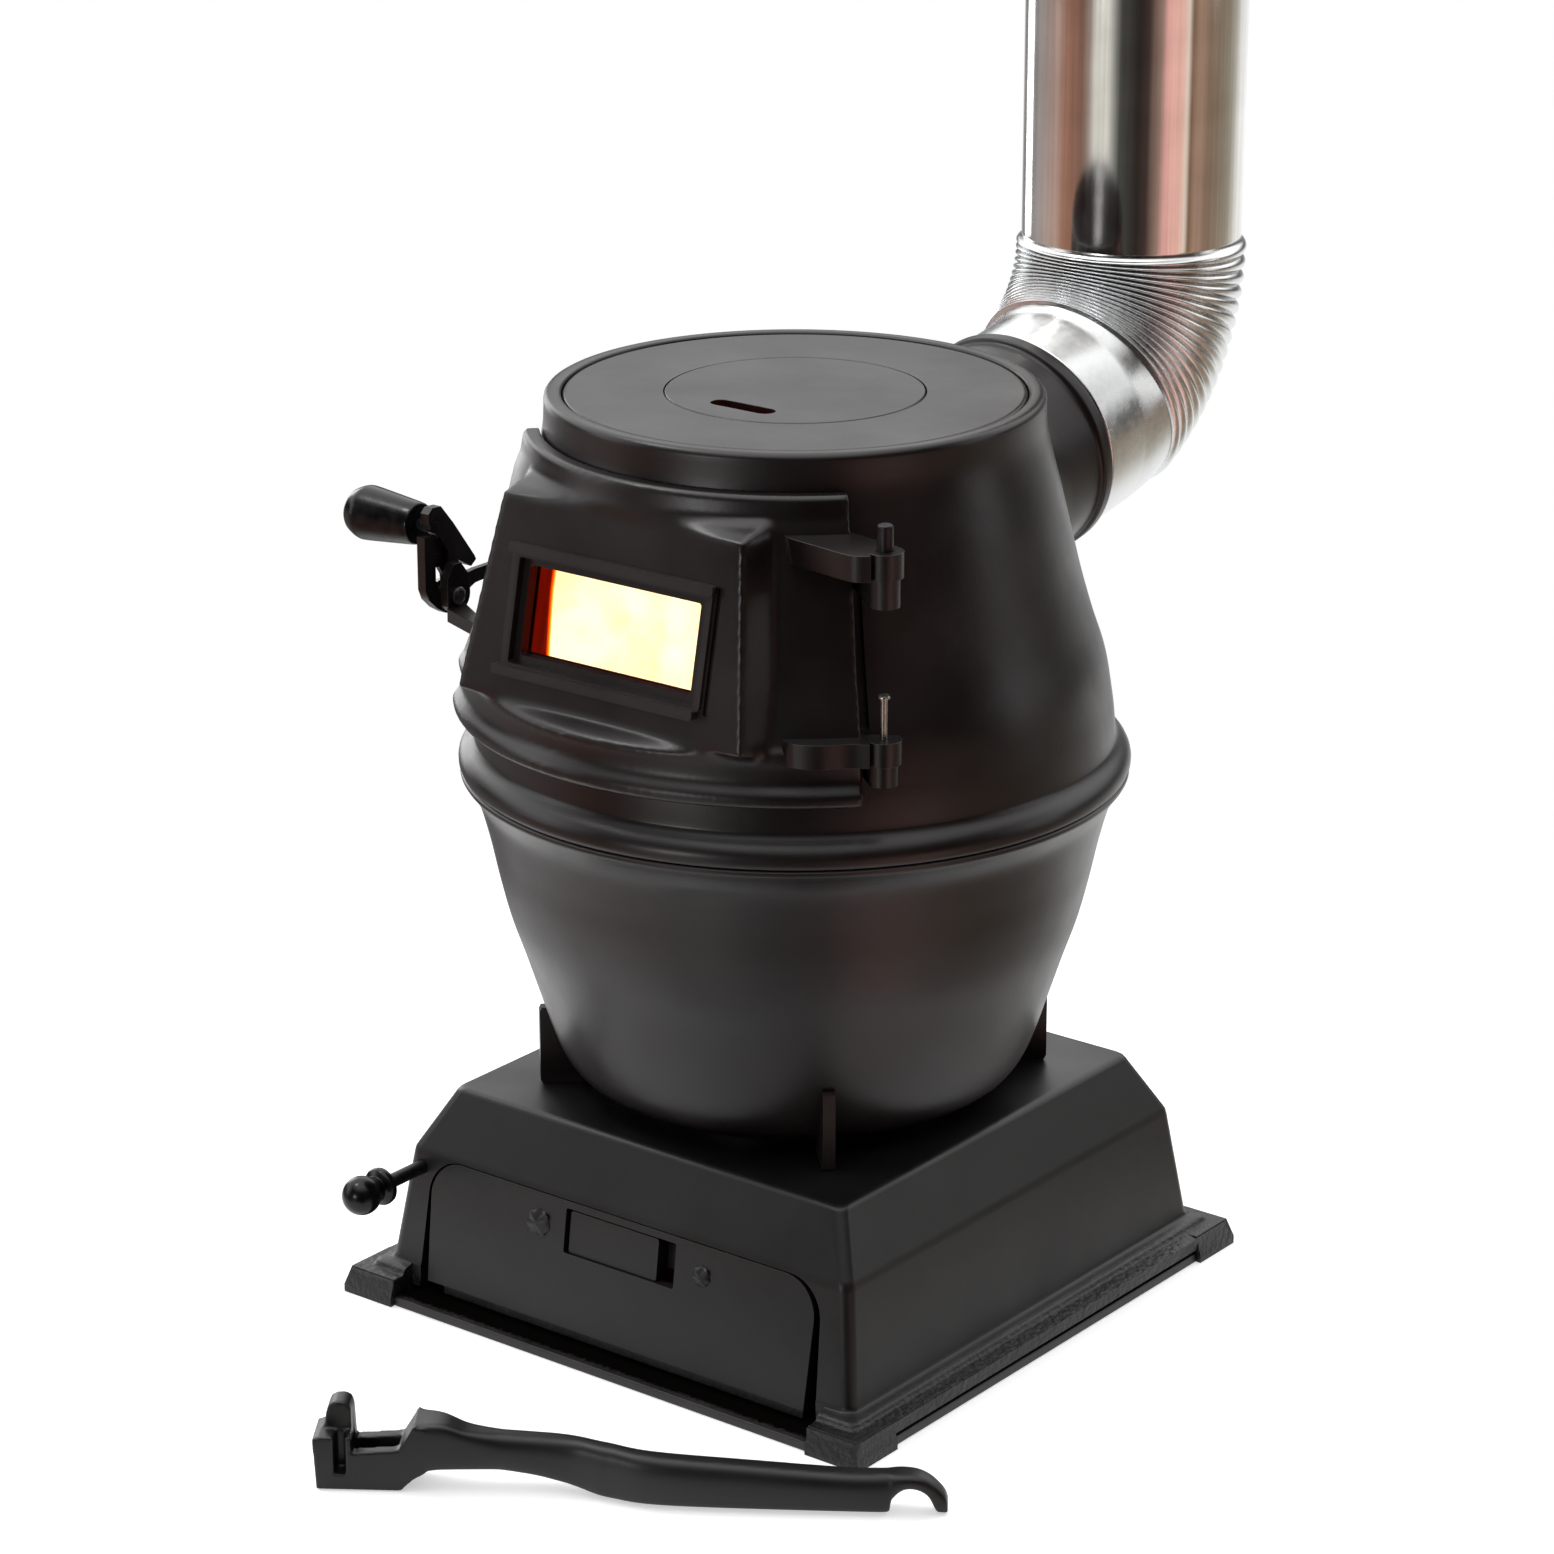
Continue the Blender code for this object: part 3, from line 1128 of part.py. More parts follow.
def build_shutter(iron, slide):
    """Build the air shutter, a plate that slides behind the window in the drawer front."""
    t0 = DRAWER_FRONT_THICK + GAP
    half = 0.5 * (SHUTTER_RIGHT_X - SHUTTER_LEFT_X)
    outline = frame_outline(half, WINDOW_BOTTOM_Z - 0.004, WINDOW_TOP_Z + 0.0015)
    middle = 0.5 * (SHUTTER_RIGHT_X + SHUTTER_LEFT_X)
    outline = [(x + middle, z) for x, z in outline]
    plate = prism("air_shutter", outline, t0, t0 + SHUTTER_THICK, iron, slide, on_front)
    half = 0.5 * (SHUTTER_RIGHT_X + WINDOW_HALF - 0.002)
    lip = frame_outline(half, WINDOW_BOTTOM_Z + GAP, WINDOW_TOP_Z - 0.0012)
    shift = 0.5 * (SHUTTER_RIGHT_X - WINDOW_HALF + 0.002)
    lip = [(x + shift, z) for x, z in lip]
    join(plate, prism("shutter_face_shape", lip, SHUTTER_LIP, t0 + 0.001, lift=on_front))


def lifter_point(s, z, t):
    """Return the world point at length s, height z and distance t behind the lifter's front line."""
    c, n = math.cos(LIFTER_HEADING), math.sin(LIFTER_HEADING)
    return (LIFTER_X + s * c - t * n, LIFTER_Y + s * n + t * c, z)


def lifter_side(s, z, side):
    """Return the world point at length s and height z on the lifter's front (0) or back (1) face."""
    return lifter_point(s, z, level(LIFTER_BACK if side else LIFTER_FRONT, s))


def build_lifter(iron, lift):
    """Build the cast lifter: jaw with its upright tab, arched shank and hooked end."""
    lifter = prism("lifter", LIFTER_BOTTOM + LIFTER_TOP, 0, 1, iron, lift, lifter_side)
    tab = [(-0.004, 0.0265), (0.030, 0.0265), (0.030, 0.060), (-0.004, 0.060)]
    cut(lifter, prism("tab_cutter", tab, -0.010, 0.0100, lift=lifter_point))
    socket = [(0.0170, 0.0090), (0.0390, 0.0090), (0.0390, 0.060), (0.0170, 0.060)]
    cut(lifter, prism("socket_cutter", socket, 0.0060, 0.0160, lift=lifter_point))
    soften(lifter, 0.0012)


def main():
    """Build every piece of the stove."""
    clear_scene()
    iron = finish("cast_iron_black", "2b2a2c", 0.55, 0.1)
    plate_iron = finish("cast_iron_floor", "262527", 0.6, 0.1)
    steel = finish("galvanised_steel", "c9cacb", 0.3, 1.0)
    bright = finish("bright_steel", "b9b8b6", 0.3, 1.0)
    dark_steel = finish("dark_steel", "3a393b", 0.45, 0.6)
    sheet = finish("pan_sheet", "4a4a4c", 0.5, 0.6)
    bakelite = finish("black_bakelite", "121113", 0.25, 0.0)
    clear_glass = finish("window_glass", "efe8dc", 0.05, 0.0)
    build_floor_plate(plate_iron)
    build_base(iron)
    build_pot(iron)
    build_body(iron)
    build_elbow(steel)
    build_pipe(steel)
    build_hob(iron, pivot("ring_lift", 0, 0, SEAT_Z), pivot("lid_lift", 0, 0, SEAT_Z))
    build_grate(iron, pivot("grate_turn", 0, 0, GRATE_Z))
    build_shaker(dark_steel, bakelite, pivot("shaker_slide", SHAKER_X, 0, SHAKER_Z))
    hinge = pivot("door_hinge", HINGE_X, HINGE_Y, LOWER_STRAP_Z)
    build_door(iron, hinge)
    build_window(clear_glass, dark_steel, bright, hinge)
    build_hinge_pins(dark_steel)
    swing = pivot("latch_swing", LATCH_LEVER_X, LATCH_Y, LATCH_Z)
    build_latch(iron, bright, bakelite, hinge, swing)
    drawer = pivot("drawer_slide", 0, -wall_half(DRAWER_BOTTOM_Z), DRAWER_BOTTOM_Z)
    build_drawer(iron, dark_steel, sheet, drawer)
    build_guide(dark_steel, drawer)
    build_lifter(iron, pivot("lifter_lift", LIFTER_X, LIFTER_Y, 0))
    build_shutter(iron, pivot("shutter_slide", 0, -wall_half(WINDOW_BOTTOM_Z), WINDOW_BOTTOM_Z))


main()
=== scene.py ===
"""Looks of a pot-bellied camping wood stove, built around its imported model.

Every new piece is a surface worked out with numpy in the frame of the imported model: metres, +Z up,
the pot axis on x = y = 0, the door at -Y, the flue at +Y and the floor at z = 0.
"""

import logging
import math
from collections.abc import Callable, Sequence
from dataclasses import dataclass
from enum import Enum

import bmesh
import bpy
import numpy as np
from mathutils import Matrix, Vector


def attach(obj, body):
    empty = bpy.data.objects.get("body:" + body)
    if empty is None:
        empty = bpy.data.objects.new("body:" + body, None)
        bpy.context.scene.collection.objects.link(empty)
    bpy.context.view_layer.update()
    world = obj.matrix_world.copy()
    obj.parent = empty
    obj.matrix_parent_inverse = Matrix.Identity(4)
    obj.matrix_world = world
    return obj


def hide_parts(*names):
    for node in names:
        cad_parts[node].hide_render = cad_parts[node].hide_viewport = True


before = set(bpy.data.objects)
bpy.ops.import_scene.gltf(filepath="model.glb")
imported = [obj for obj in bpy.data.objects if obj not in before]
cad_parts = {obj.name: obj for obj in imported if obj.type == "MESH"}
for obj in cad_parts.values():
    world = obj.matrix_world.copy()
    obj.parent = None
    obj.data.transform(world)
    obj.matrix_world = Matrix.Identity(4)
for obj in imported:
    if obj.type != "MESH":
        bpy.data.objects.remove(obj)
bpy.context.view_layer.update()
log = logging.getLogger("stove")

Array = np.ndarray
Profile = Sequence[tuple[float, float]]
Stops = Sequence[tuple[float, str]]
Material, Piece = bpy.types.Material, bpy.types.Object
Tree, Node, Socket = bpy.types.NodeTree, bpy.types.Node, bpy.types.NodeSocket

MM = 1000.0  # millimetres in a metre
TURN = 2 * math.pi
CLEAR = 0.0003  # gap between pieces that fit into each other
WHITE = "ffffff"
CORNERS = ((1, 1), (-1, 1), (-1, -1), (1, -1))
WALL_Y, WALL_Z = 0.1433, 0.0182  # where the base's sloping front wall starts, above its bead
WALL_SLOPE = 0.0079 / (0.0760 - 0.0182)  # how far the wall leans back for each metre up
HINGE = (0.1274, -0.1001)  # x and y of the door's hinge axis
LATCH = (-0.0840, 0.3478)  # y and z of the latch pin
COLLAR = (0.1850, 0.3912)  # y and z of the middle of the collar's mouth
COLLAR_TILT = math.radians(11.0)  # how far the collar points up
DOORWAY_HALF = 38.0  # degrees that the doorway reaches to each side of the front
DOORWAY_Z = (0.320, 0.426)  # its bottom and top


class Body(Enum):
    """The moving bodies that new pieces ride on."""

    STOVE = "stove"
    SHAKER = "shaker"
    DOOR = "door"
    LATCH = "latch"
    DRAWER = "drawer"
    SHUTTER = "shutter"
    HOB_RING = "hob_ring"
    HOB_LID = "hob_lid"
    LIFTER = "lifter"


class Join(Enum):
    """What happens to a piece where solids meet it."""

    CUT = "DIFFERENCE"
    WELD = "UNION"


class Slot(Enum):
    """The record's material slots, listed with each new piece."""

    IRON = "cast_iron_black"
    GALVANISED = "galvanised_steel"
    DARK_STEEL = "dark_steel"
    BRIGHT_STEEL = "bright_steel"
    PHENOLIC = "black_bakelite"
    GLASS = "window_glass"


# ---------- colour and nodes


def linear(code: str) -> tuple[float, float, float, float]:
    """Turn an sRGB hex colour into linear light.

    Args:
        code: Six hex digits.

    Returns:
        Red, green, blue and alpha as a shader socket takes them.
    """
    share = np.array([int(code[i : i + 2], 16) for i in (0, 2, 4)]) / 255
    light = np.where(share <= 0.04045, share / 12.92, ((share + 0.055) / 1.055) ** 2.4)
    return (*(float(c) for c in light), 1.0)


def add(
    tree: Tree,
    kind: str,
    wires: Sequence[object] | dict[str | int, object] = (),
    stops: Stops = (),
    **settings: object,
) -> Node:
    """Add a shader node with its settings and links.

    Args:
        tree: The node tree.
        kind: The node's type name after ShaderNode.
        wires: What goes into each input, in order or by name: a node, whose first output is meant, an output
            socket or a plain value.
        stops: A colour ramp's places from 0 to 1 with their sRGB hex colours.
        **settings: Properties of the node.

    Returns:
        The new node.
    """
    made = tree.nodes.new("ShaderNode" + kind)
    for key, value in settings.items():
        setattr(made, key, value)
    for key, value in wires.items() if isinstance(wires, dict) else enumerate(wires):
        if isinstance(value, Node):
            value = value.outputs[0]
        if isinstance(value, Socket):
            tree.links.new(value, made.inputs[key])
        else:
            made.inputs[key].default_value = value
    if stops:
        bar = made.color_ramp.elements
        while len(bar) < len(stops):
            bar.new(0.5)
        for element, (place, code) in zip(bar, stops):
            element.position = place
            element.color = linear(code)
    return made


def blank(name: str) -> tuple[Material, Tree, Socket]:
    """Make an empty material.

    Args:
        name: The real material's name.

    Returns:
        The material, its node tree, and its piece's own coordinates in metres.
    """
    made = bpy.data.materials.new(name)
    made.use_nodes = True
    made.node_tree.nodes.clear()
    return made, made.node_tree, add(made.node_tree, "TexCoord").outputs["Object"]


@dataclass(frozen=True)
class PaintedIron:
    """Sand-cast grey iron under satin black heat-resistant paint.

    The sand leaves a fine grain and slow waves in the skin. The paint fills most of the grain and gives a
    soft sheen, greyer where it is thin on edges. The sand's grains of about 0.3 mm are drawn 1.1 mm wide, so
    that they show, and the waves are those of a rammed mould, 14 mm long. Where crust_top is given, the
    casting has a rough scale below that height. Where a half width for the dark square is given, a plate is
    painted flat black inside it: painted shade under the base and its drawer front.
    """

    name: str
    dark: str
    pale: str
    edge: str
    roughness: float
    grain_mm: float = 1.1
    grain_depth_mm: float = 0.035
    wave_mm: float = 14.0
    wave_depth_mm: float = 0.10
    painted_shade_half: float = 0.0
    crust_top: float = 0.0

    def crust(self, tree: Tree, where: Socket) -> Node:
        """Work out the rough scale: lumps of 3.2 mm that fade out over the 4 mm below its top.

        Args:
            tree: The node tree.
            where: The piece's coordinates.

        Returns:
            The node of the scale's height.
        """
        height = add(tree, "SeparateXYZ", [where]).outputs[2]
        fade = add(tree, "MapRange", [height, self.crust_top, self.crust_top - 0.004])
        lumps = add(tree, "TexNoise", {"Vector": where, "Scale": MM / 3.2, "Detail": 5.0})
        return add(tree, "Math", [lumps, fade], operation="MULTIPLY")

    def soot(self, tree: Tree, where: Socket, ragged: Node) -> Node:
        """Work out where the plate is painted black as shade: 0 inside a square with a ragged edge, 1
        outside.

        Args:
            tree: The node tree.
            where: The piece's coordinates.
            ragged: The noise that frays the edge.

        Returns:
            The node of the share outside the painted shade.
        """
        sides = add(tree, "SeparateXYZ", [where])
        x, y = (add(tree, "Math", [sides.outputs[i]], operation="ABSOLUTE") for i in range(2))
        far = add(tree, "Math", [x, y], operation="MAXIMUM")
        edge = add(tree, "Math", [ragged, 0.006, far], operation="MULTIPLY_ADD")
        return add(tree, "MapRange", [edge, self.painted_shade_half + 0.0020, self.painted_shade_half + 0.0042])

    def build(self) -> Material:
        """Make the material.

        Returns:
            The finished material.
        """
        made, tree, where = blank(self.name)
        grain = add(tree, "TexNoise", {"Vector": where, "Scale": MM / self.grain_mm, "Detail": 4.0})
        wave = add(tree, "TexNoise", {"Vector": where, "Scale": MM / self.wave_mm, "Detail": 2.0})
        cloud = add(tree, "TexNoise", {"Vector": where, "Scale": MM / 55.0, "Detail": 4.0})
        skin = add(tree, "ValToRGB", [cloud], ((0.32, self.dark), (0.68, self.pale)))
        bare = add(tree, "MapRange", [add(tree, "NewGeometry").outputs["Pointiness"], 0.56, 0.72, 0.0, 0.35])
        rubbed = add(tree, "Mix", {0: bare, 6: skin, 7: linear(self.edge)}, data_type="RGBA").outputs[2]
        patchy = add(tree, "MapRange", [cloud, 0.3, 0.7, self.roughness - 0.05, self.roughness + 0.07])
        slow = add(tree, "Bump", {"Height": wave, "Distance": self.wave_depth_mm / MM})
        fine = add(tree, "Bump", {"Height": grain, "Distance": self.grain_depth_mm / MM, "Normal": slow})
        if self.crust_top:
            lumps = self.crust(tree, where)
            fine = add(tree, "Bump", {"Height": lumps, "Distance": 0.0011, "Normal": fine})
        look = {"Base Color": rubbed, "Roughness": patchy, "Normal": fine, "IOR": 1.5}  # silicone paint
        shader = add(tree, "BsdfPrincipled", look)
        # painted shade: the plate goes flat black, without sheen, under the base where shade falls
        if self.painted_shade_half:
            black = add(tree, "BsdfDiffuse", {"Color": linear("0a0908"), "Roughness": 1.0})
            shader = add(tree, "MixShader", [self.soot(tree, where, grain), black, shader])
        add(tree, "OutputMaterial", [shader])
        return made


@dataclass(frozen=True)
class SheetSteel:
    """Steel sheet or bar: rolled, zinc coated or blackened, with its drawing marks and faint waves.

    The rolls and dies leave lines a few hundredths of a millimetre wide, drawn 1 to 4 mm wide so that they
    show, and stretched along the work. Thin sheet also has dents and waves some 25 to 40 mm long, which bend
    what it mirrors.
    """

    name: str
    dark: str
    pale: str
    roughness: float
    streak_mm: float = 2.5
    stretch: tuple[float, float, float] = (1.0, 1.0, 0.02)
    wave_mm: float = 40.0
    wave_depth_mm: float = 0.25

    def build(self) -> Material:
        """Make the material.

        Returns:
            The finished material.
        """
        made, tree, where = blank(self.name)
        drawn = add(tree, "Mapping", {"Vector": where, "Scale": self.stretch})
        streak = add(tree, "TexNoise", {"Vector": drawn, "Scale": MM / self.streak_mm, "Detail": 4.0})
        cloud = add(tree, "TexNoise", {"Vector": where, "Scale": MM / 30.0, "Detail": 3.0})
        wave = add(tree, "TexNoise", {"Vector": drawn, "Scale": MM / self.wave_mm, "Detail": 1.0})
        both = add(tree, "Mix", {0: 0.45, 2: streak, 3: cloud}, data_type="FLOAT")
        tone = add(tree, "ValToRGB", [both], ((0.3, self.dark), (0.7, self.pale)))
        rough = add(tree, "MapRange", [both, 0.3, 0.7, self.roughness * 0.8, self.roughness * 1.3])
        bumps = add(tree, "Bump", {"Height": wave, "Distance": self.wave_depth_mm / MM})
        look = {"Base Color": tone, "Roughness": rough, "Normal": bumps, "Metallic": 1.0}
        add(tree, "OutputMaterial", [add(tree, "BsdfPrincipled", look)])
        return made


@dataclass(frozen=True)
class Phenolic:
    """Black phenolic, compression moulded: a hard gloss, dulled in 6 mm clouds by dust and fingers.

    The dust also lowers its reflection, so the specular level is half of that of a clean moulding.
    """

    name: str
    colour: str
    roughness: float

    def build(self) -> Material:
        """Make the material.

        Returns:
            The finished material.
        """
        made, tree, where = blank(self.name)
        haze = add(tree, "TexNoise", {"Vector": where, "Scale": MM / 6.0, "Detail": 5.0})
        rough = add(tree, "MapRange", [haze, 0.35, 0.75, self.roughness, self.roughness + 0.12])
        tone = add(tree, "ValToRGB", [haze], ((0.3, self.colour), (0.8, "121113")))
        bumps = add(tree, "Bump", {"Height": haze, "Distance": 0.02 / MM})
        look = {"Base Color": tone, "Roughness": rough, "Normal": bumps, "IOR": 1.55}
        look["Specular IOR Level"] = 0.25
        add(tree, "OutputMaterial", [add(tree, "BsdfPrincipled", look)])
        return made


@dataclass(frozen=True)
class HeatGlass:
    """Clear glass-ceramic pane, drawn flat: a clean surface reflection, and a faint warm veil of soot.

    The soot lies in clouds of about 18 mm.
    """

    name: str
    tint: str

    def build(self) -> Material:
        """Make the material, which lets light straight through and reflects by Fresnel.

        Returns:
            The finished material.
        """
        made, tree, where = blank(self.name)
        soot = add(tree, "TexNoise", {"Vector": where, "Scale": MM / 18.0, "Detail": 4.0})
        veil = add(tree, "ValToRGB", [soot], ((0.35, self.tint), (0.75, "f3e2cd")))
        through = add(tree, "BsdfTransparent", {"Color": veil})
        mirror = add(tree, "BsdfGlossy", {"Roughness": 0.04})
        share = add(tree, "Fresnel", {"IOR": 1.52})
        add(tree, "OutputMaterial", [add(tree, "MixShader", [share, through, mirror])])
        return made


@dataclass(frozen=True)
class WoodFire:
    """Burning wood gas: white-hot behind the pane, deep red at the pane's left and at the fire's top.

    The camera sees the flame's own colours. Everything else gets an even red light from it, as from embers.
    """

    name: str
    strength: float

    def build(self) -> Material:
        """Make the material, whose colour cools within 7.5 mm at the left and 25 mm at the top.

        Returns:
            The finished material.
        """
        made, tree, where = blank(self.name)
        tongues = add(tree, "Mapping", {"Vector": where, "Scale": (1.0, 1.0, 0.4)})
        lick = add(tree, "TexNoise", {"Vector": tongues, "Scale": MM / 30.0, "Detail": 3.0})
        split = add(tree, "SeparateXYZ", [where])
        side = add(tree, "MapRange", [split, -0.0625, -0.0550])
        high = add(tree, "MapRange", [split.outputs[2], 0.420, 0.395])
        core = add(tree, "Math", [side, high], operation="MULTIPLY")
        heat = add(tree, "Math", [lick, 0.35, core], operation="MULTIPLY_ADD")
        glows = ((0.10, "1c0200"), (0.34, "6c0a00"), (0.60, "ff4a04"), (0.82, "ffb030"), (1.0, "fff0c8"))
        colour = add(tree, "ValToRGB", [heat], glows)
        glow = add(tree, "Emission", {"Color": colour, "Strength": self.strength})
        cast_light = add(tree, "Emission", {"Color": linear("ff4a10"), "Strength": 1.3})
        seen = add(tree, "LightPath").outputs["Is Camera Ray"]
        add(tree, "OutputMaterial", [add(tree, "MixShader", [seen, cast_light, glow])])
        return made


# ---------- surfaces


def quads(rows: int, cols: int, ring: bool, loop: bool) -> Array:
    """List the four-cornered faces of a grid of points, by rows.

    Args:
        rows: How many rows.
        cols: How many points in a row.
        ring: Whether each row closes on itself.
        loop: Whether the last row joins the first.

    Returns:
        An array of four point numbers for each face.
    """
    i = np.arange(rows if loop else rows - 1)[:, None]
    j = np.arange(cols if ring else cols - 1)[None, :]
    far, side = (i + 1) % rows, (j + 1) % cols
    found = np.stack([i * cols + j, i * cols + side, far * cols + side, far * cols + j], axis=-1)
    return found.reshape(-1, 4)


@dataclass
class Skin:
    """Points and faces of one or more closed surfaces."""

    points: Array
    faces: list[Array]

    @classmethod
    def grid(cls, points: Array, ring: bool = True, loop: bool = False) -> "Skin":
        """Make a surface from a grid of points, capped at its first and last row unless it is a loop.

        Args:
            points: Rows by columns by three.
            ring: Whether each row closes on itself.
            loop: Whether the last row joins the first.

        Returns:
            The surface.
        """
        rows, cols = points.shape[:2]
        faces: list[Array] = [quads(rows, cols, ring, loop)]
        if ring and not loop:
            faces.append(np.arange(cols)[::-1][None, :])
            faces.append(np.arange(cols)[None, :] + (rows - 1) * cols)
        return cls(points.reshape(-1, 3), faces)

    def __add__(self, other: "Skin") -> "Skin":
        """Put two surfaces in one mesh."""
        moved = [f + len(self.points) for f in other.faces]
        return Skin(np.vstack([self.points, other.points]), self.faces + moved)

    def moved(self, matrix: Matrix) -> "Skin":
        """Return the surface with a matrix applied to each point."""
        turn = np.array(matrix)
        return Skin(self.points @ turn[:3, :3].T + turn[:3, 3], self.faces)


def turned(profile: Profile | Array, around: int = 64, loop: bool = False) -> Skin:
    """Turn a line of (radius, height) about the Z axis: x = r cos t, y = r sin t.

    Args:
        profile: The line.
        around: Points in a turn.
        loop: Whether the line joins its own start. Else a flat cap closes each end.

    Returns:
        The surface.
    """
    line = np.asarray(profile, float)
    t = np.arange(around) * TURN / around
    x, y = line[:, :1] * np.cos(t), line[:, :1] * np.sin(t)
    return Skin.grid(np.stack([x, y, np.repeat(line[:, 1:], around, axis=1)], axis=-1), loop=loop)


def plate(
    outline: Profile | Array, low: float, high: float, place: Callable[[Array], Array] | None = None
) -> Skin:
    """Extrude an outline of (a, b) from one height to another, then place each (a, b, height).

    Args:
        outline: The outline's corners.
        low: The first height.
        high: The second height.
        place: Takes an array of (a, b, height) and returns points.

    Returns:
        The surface.
    """
    flat = np.asarray(outline, float)
    rows = [np.column_stack([flat, np.full(len(flat), h)]) for h in (low, high)]
    points = np.stack(rows)
    if place:
        points = place(points.reshape(-1, 3)).reshape(points.shape)
    return Skin.grid(points)


def arc(x: float, y: float, r: float, start: float, end: float, steps: int = 8) -> list[tuple[float, float]]:
    """Return points of an arc between two angles in degrees."""
    t = np.radians(np.linspace(start, end, steps + 1))
    return [(float(x + r * math.cos(a)), float(y + r * math.sin(a))) for a in t]


def smooth(points: Profile | Array, count: int) -> Array:
    """Run a smooth curve through points and return evenly spaced points of it.

    It is a Catmull-Rom curve: on each span a cubic whose end slopes are half the step between neighbours.

    Args:
        points: The points that it passes through.
        count: How many points to return.

    Returns:
        The curve's points.
    """
    p = np.asarray(points, float)
    padded = np.vstack([2 * p[0] - p[1], p, 2 * p[-1] - p[-2]])
    t = np.linspace(0, 1, 24, endpoint=False)[:, None, None]
    a, b, c, d = padded[:-3], padded[1:-2], padded[2:-1], padded[3:]
    fine = 0.5 * (2 * b + (c - a) * t + (2 * a - 5 * b + 4 * c - d) * t**2 + (3 * b - a - 3 * c + d) * t**3)
    fine = np.vstack([fine.transpose(1, 0, 2).reshape(-1, p.shape[1]), p[-1:]])
    run = np.concatenate([[0], np.cumsum(np.linalg.norm(np.diff(fine, axis=0), axis=1))])
    at = np.linspace(0, run[-1], count)
    return np.column_stack([np.interp(at, run, fine[:, k]) for k in range(p.shape[1])])


def rounded(outline: Profile, radius: float, steps: int = 5) -> list[tuple[float, float]]:
    """Round each corner of an outline with a quadratic Bezier curve between two points on its sides.

    Args:
        outline: The corners in order.
        radius: How far the rounding starts from each corner.
        steps: Points added for each corner.

    Returns:
        The rounded outline.
    """
    p = np.asarray(outline, float)
    before, after = np.roll(p, 1, axis=0) - p, np.roll(p, -1, axis=0) - p
    reach_b = np.linalg.norm(before, axis=1, keepdims=True)
    reach_a = np.linalg.norm(after, axis=1, keepdims=True)
    start = p + before / reach_b * np.minimum(radius, 0.45 * reach_b)
    end = p + after / reach_a * np.minimum(radius, 0.45 * reach_a)
    t = np.linspace(0, 1, steps)[None, :, None]
    curve = start[:, None] * (1 - t) ** 2 + 2 * p[:, None] * t * (1 - t) + end[:, None] * t**2
    return [tuple(map(float, q)) for q in curve.reshape(-1, 2)]


def oblong(
    left: float, right: float, low: float, high: float, radius: float = 0.0, steps: int = 5
) -> Profile:
    """Return a rectangle's corners, rounded if a radius is given.

    Args:
        left: Its left side.
        right: Its right side.
        low: Its lower side.
        high: Its upper side.
        radius: How far the rounding starts from each corner.
        steps: Points for each rounded corner.

    Returns:
        The outline.
    """
    corners = [(left, low), (right, low), (right, high), (left, high)]
    return rounded(corners, radius, steps) if radius else corners


def polar(degrees: float, r: float) -> tuple[float, float]:
    """Return x and y at a radius and an angle from the front towards the hinge side."""
    return (r * math.sin(math.radians(degrees)), -r * math.cos(math.radians(degrees)))


def along(axis: Sequence[float], x: float, y: float, z: float) -> Matrix:
    """Return the matrix that puts local Z on a direction, at a point."""
    turn = Vector((0, 0, 1)).rotation_difference(Vector(axis))
    return Matrix.Translation((x, y, z)) @ turn.to_matrix().to_4x4()


def in_collar() -> Matrix:
    """Return the matrix that puts local Z on the collar's axis, from the middle of its mouth."""
    return along((0, math.cos(COLLAR_TILT), math.sin(COLLAR_TILT)), 0, *COLLAR)


def sideways(points: Array) -> Array:
    """Place (y, z, x) as world points."""
    return points[:, [2, 0, 1]]


# ---------- pieces


def make(name: str, skin: Skin, finish: Material | None = None, sharp: float = 40.0) -> Piece:
    """Make a mesh object from a surface, smooth except at edges sharper than an angle.

    Args:
        name: The piece's name.
        skin: Its surface.
        finish: Its material.
        sharp: The angle in degrees.

    Returns:
        The object, at the origin.
    """
    mesh = bpy.data.meshes.new(name)
    sizes = np.concatenate([np.full(len(f), f.shape[1]) for f in skin.faces])
    corners = np.concatenate([f.ravel() for f in skin.faces])
    mesh.vertices.add(len(skin.points))
    mesh.vertices.foreach_set("co", skin.points.astype(np.float32).ravel())
    mesh.loops.add(len(corners))
    mesh.loops.foreach_set("vertex_index", corners.astype(np.int32))
    mesh.polygons.add(len(sizes))
    starts = np.concatenate([[0], np.cumsum(sizes)[:-1]])
    mesh.polygons.foreach_set("loop_start", starts.astype(np.int32))
    mesh.update(calc_edges=True)
    mesh.validate()
    if finish:
        mesh.materials.append(finish)
    made = bpy.data.objects.new(name, mesh)
    bpy.context.scene.collection.objects.link(made)
    outwards(made)
    shade(made, sharp)
    return made


def outwards(piece: Piece) -> None:
    """Turn a piece's faces outwards.

    Args:
        piece: The piece.
    """
    shape = bmesh.new()
    shape.from_mesh(piece.data)
    bmesh.ops.recalc_face_normals(shape, faces=shape.faces)
    shape.to_mesh(piece.data)
    shape.free()


def shade(piece: Piece, sharp: float = 40.0) -> None:
    """Shade a piece smooth, apart from its edges sharper than an angle in degrees."""
    mesh = piece.data
    mesh.polygons.foreach_set("use_smooth", np.ones(len(mesh.polygons), bool))
    mesh.set_sharp_from_angle(angle=math.radians(sharp))


def settle(piece: Piece, sharp: float = 40.0) -> None:
    """Apply a piece's modifiers to its mesh.

    Args:
        piece: The piece.
        sharp: The angle in degrees past which an edge stays sharp.
    """
    seen = piece.evaluated_get(bpy.context.evaluated_depsgraph_get())
    mesh = bpy.data.meshes.new_from_object(seen)
    old = piece.data
    piece.modifiers.clear()
    piece.data = mesh
    bpy.data.meshes.remove(old)
    shade(piece, sharp)


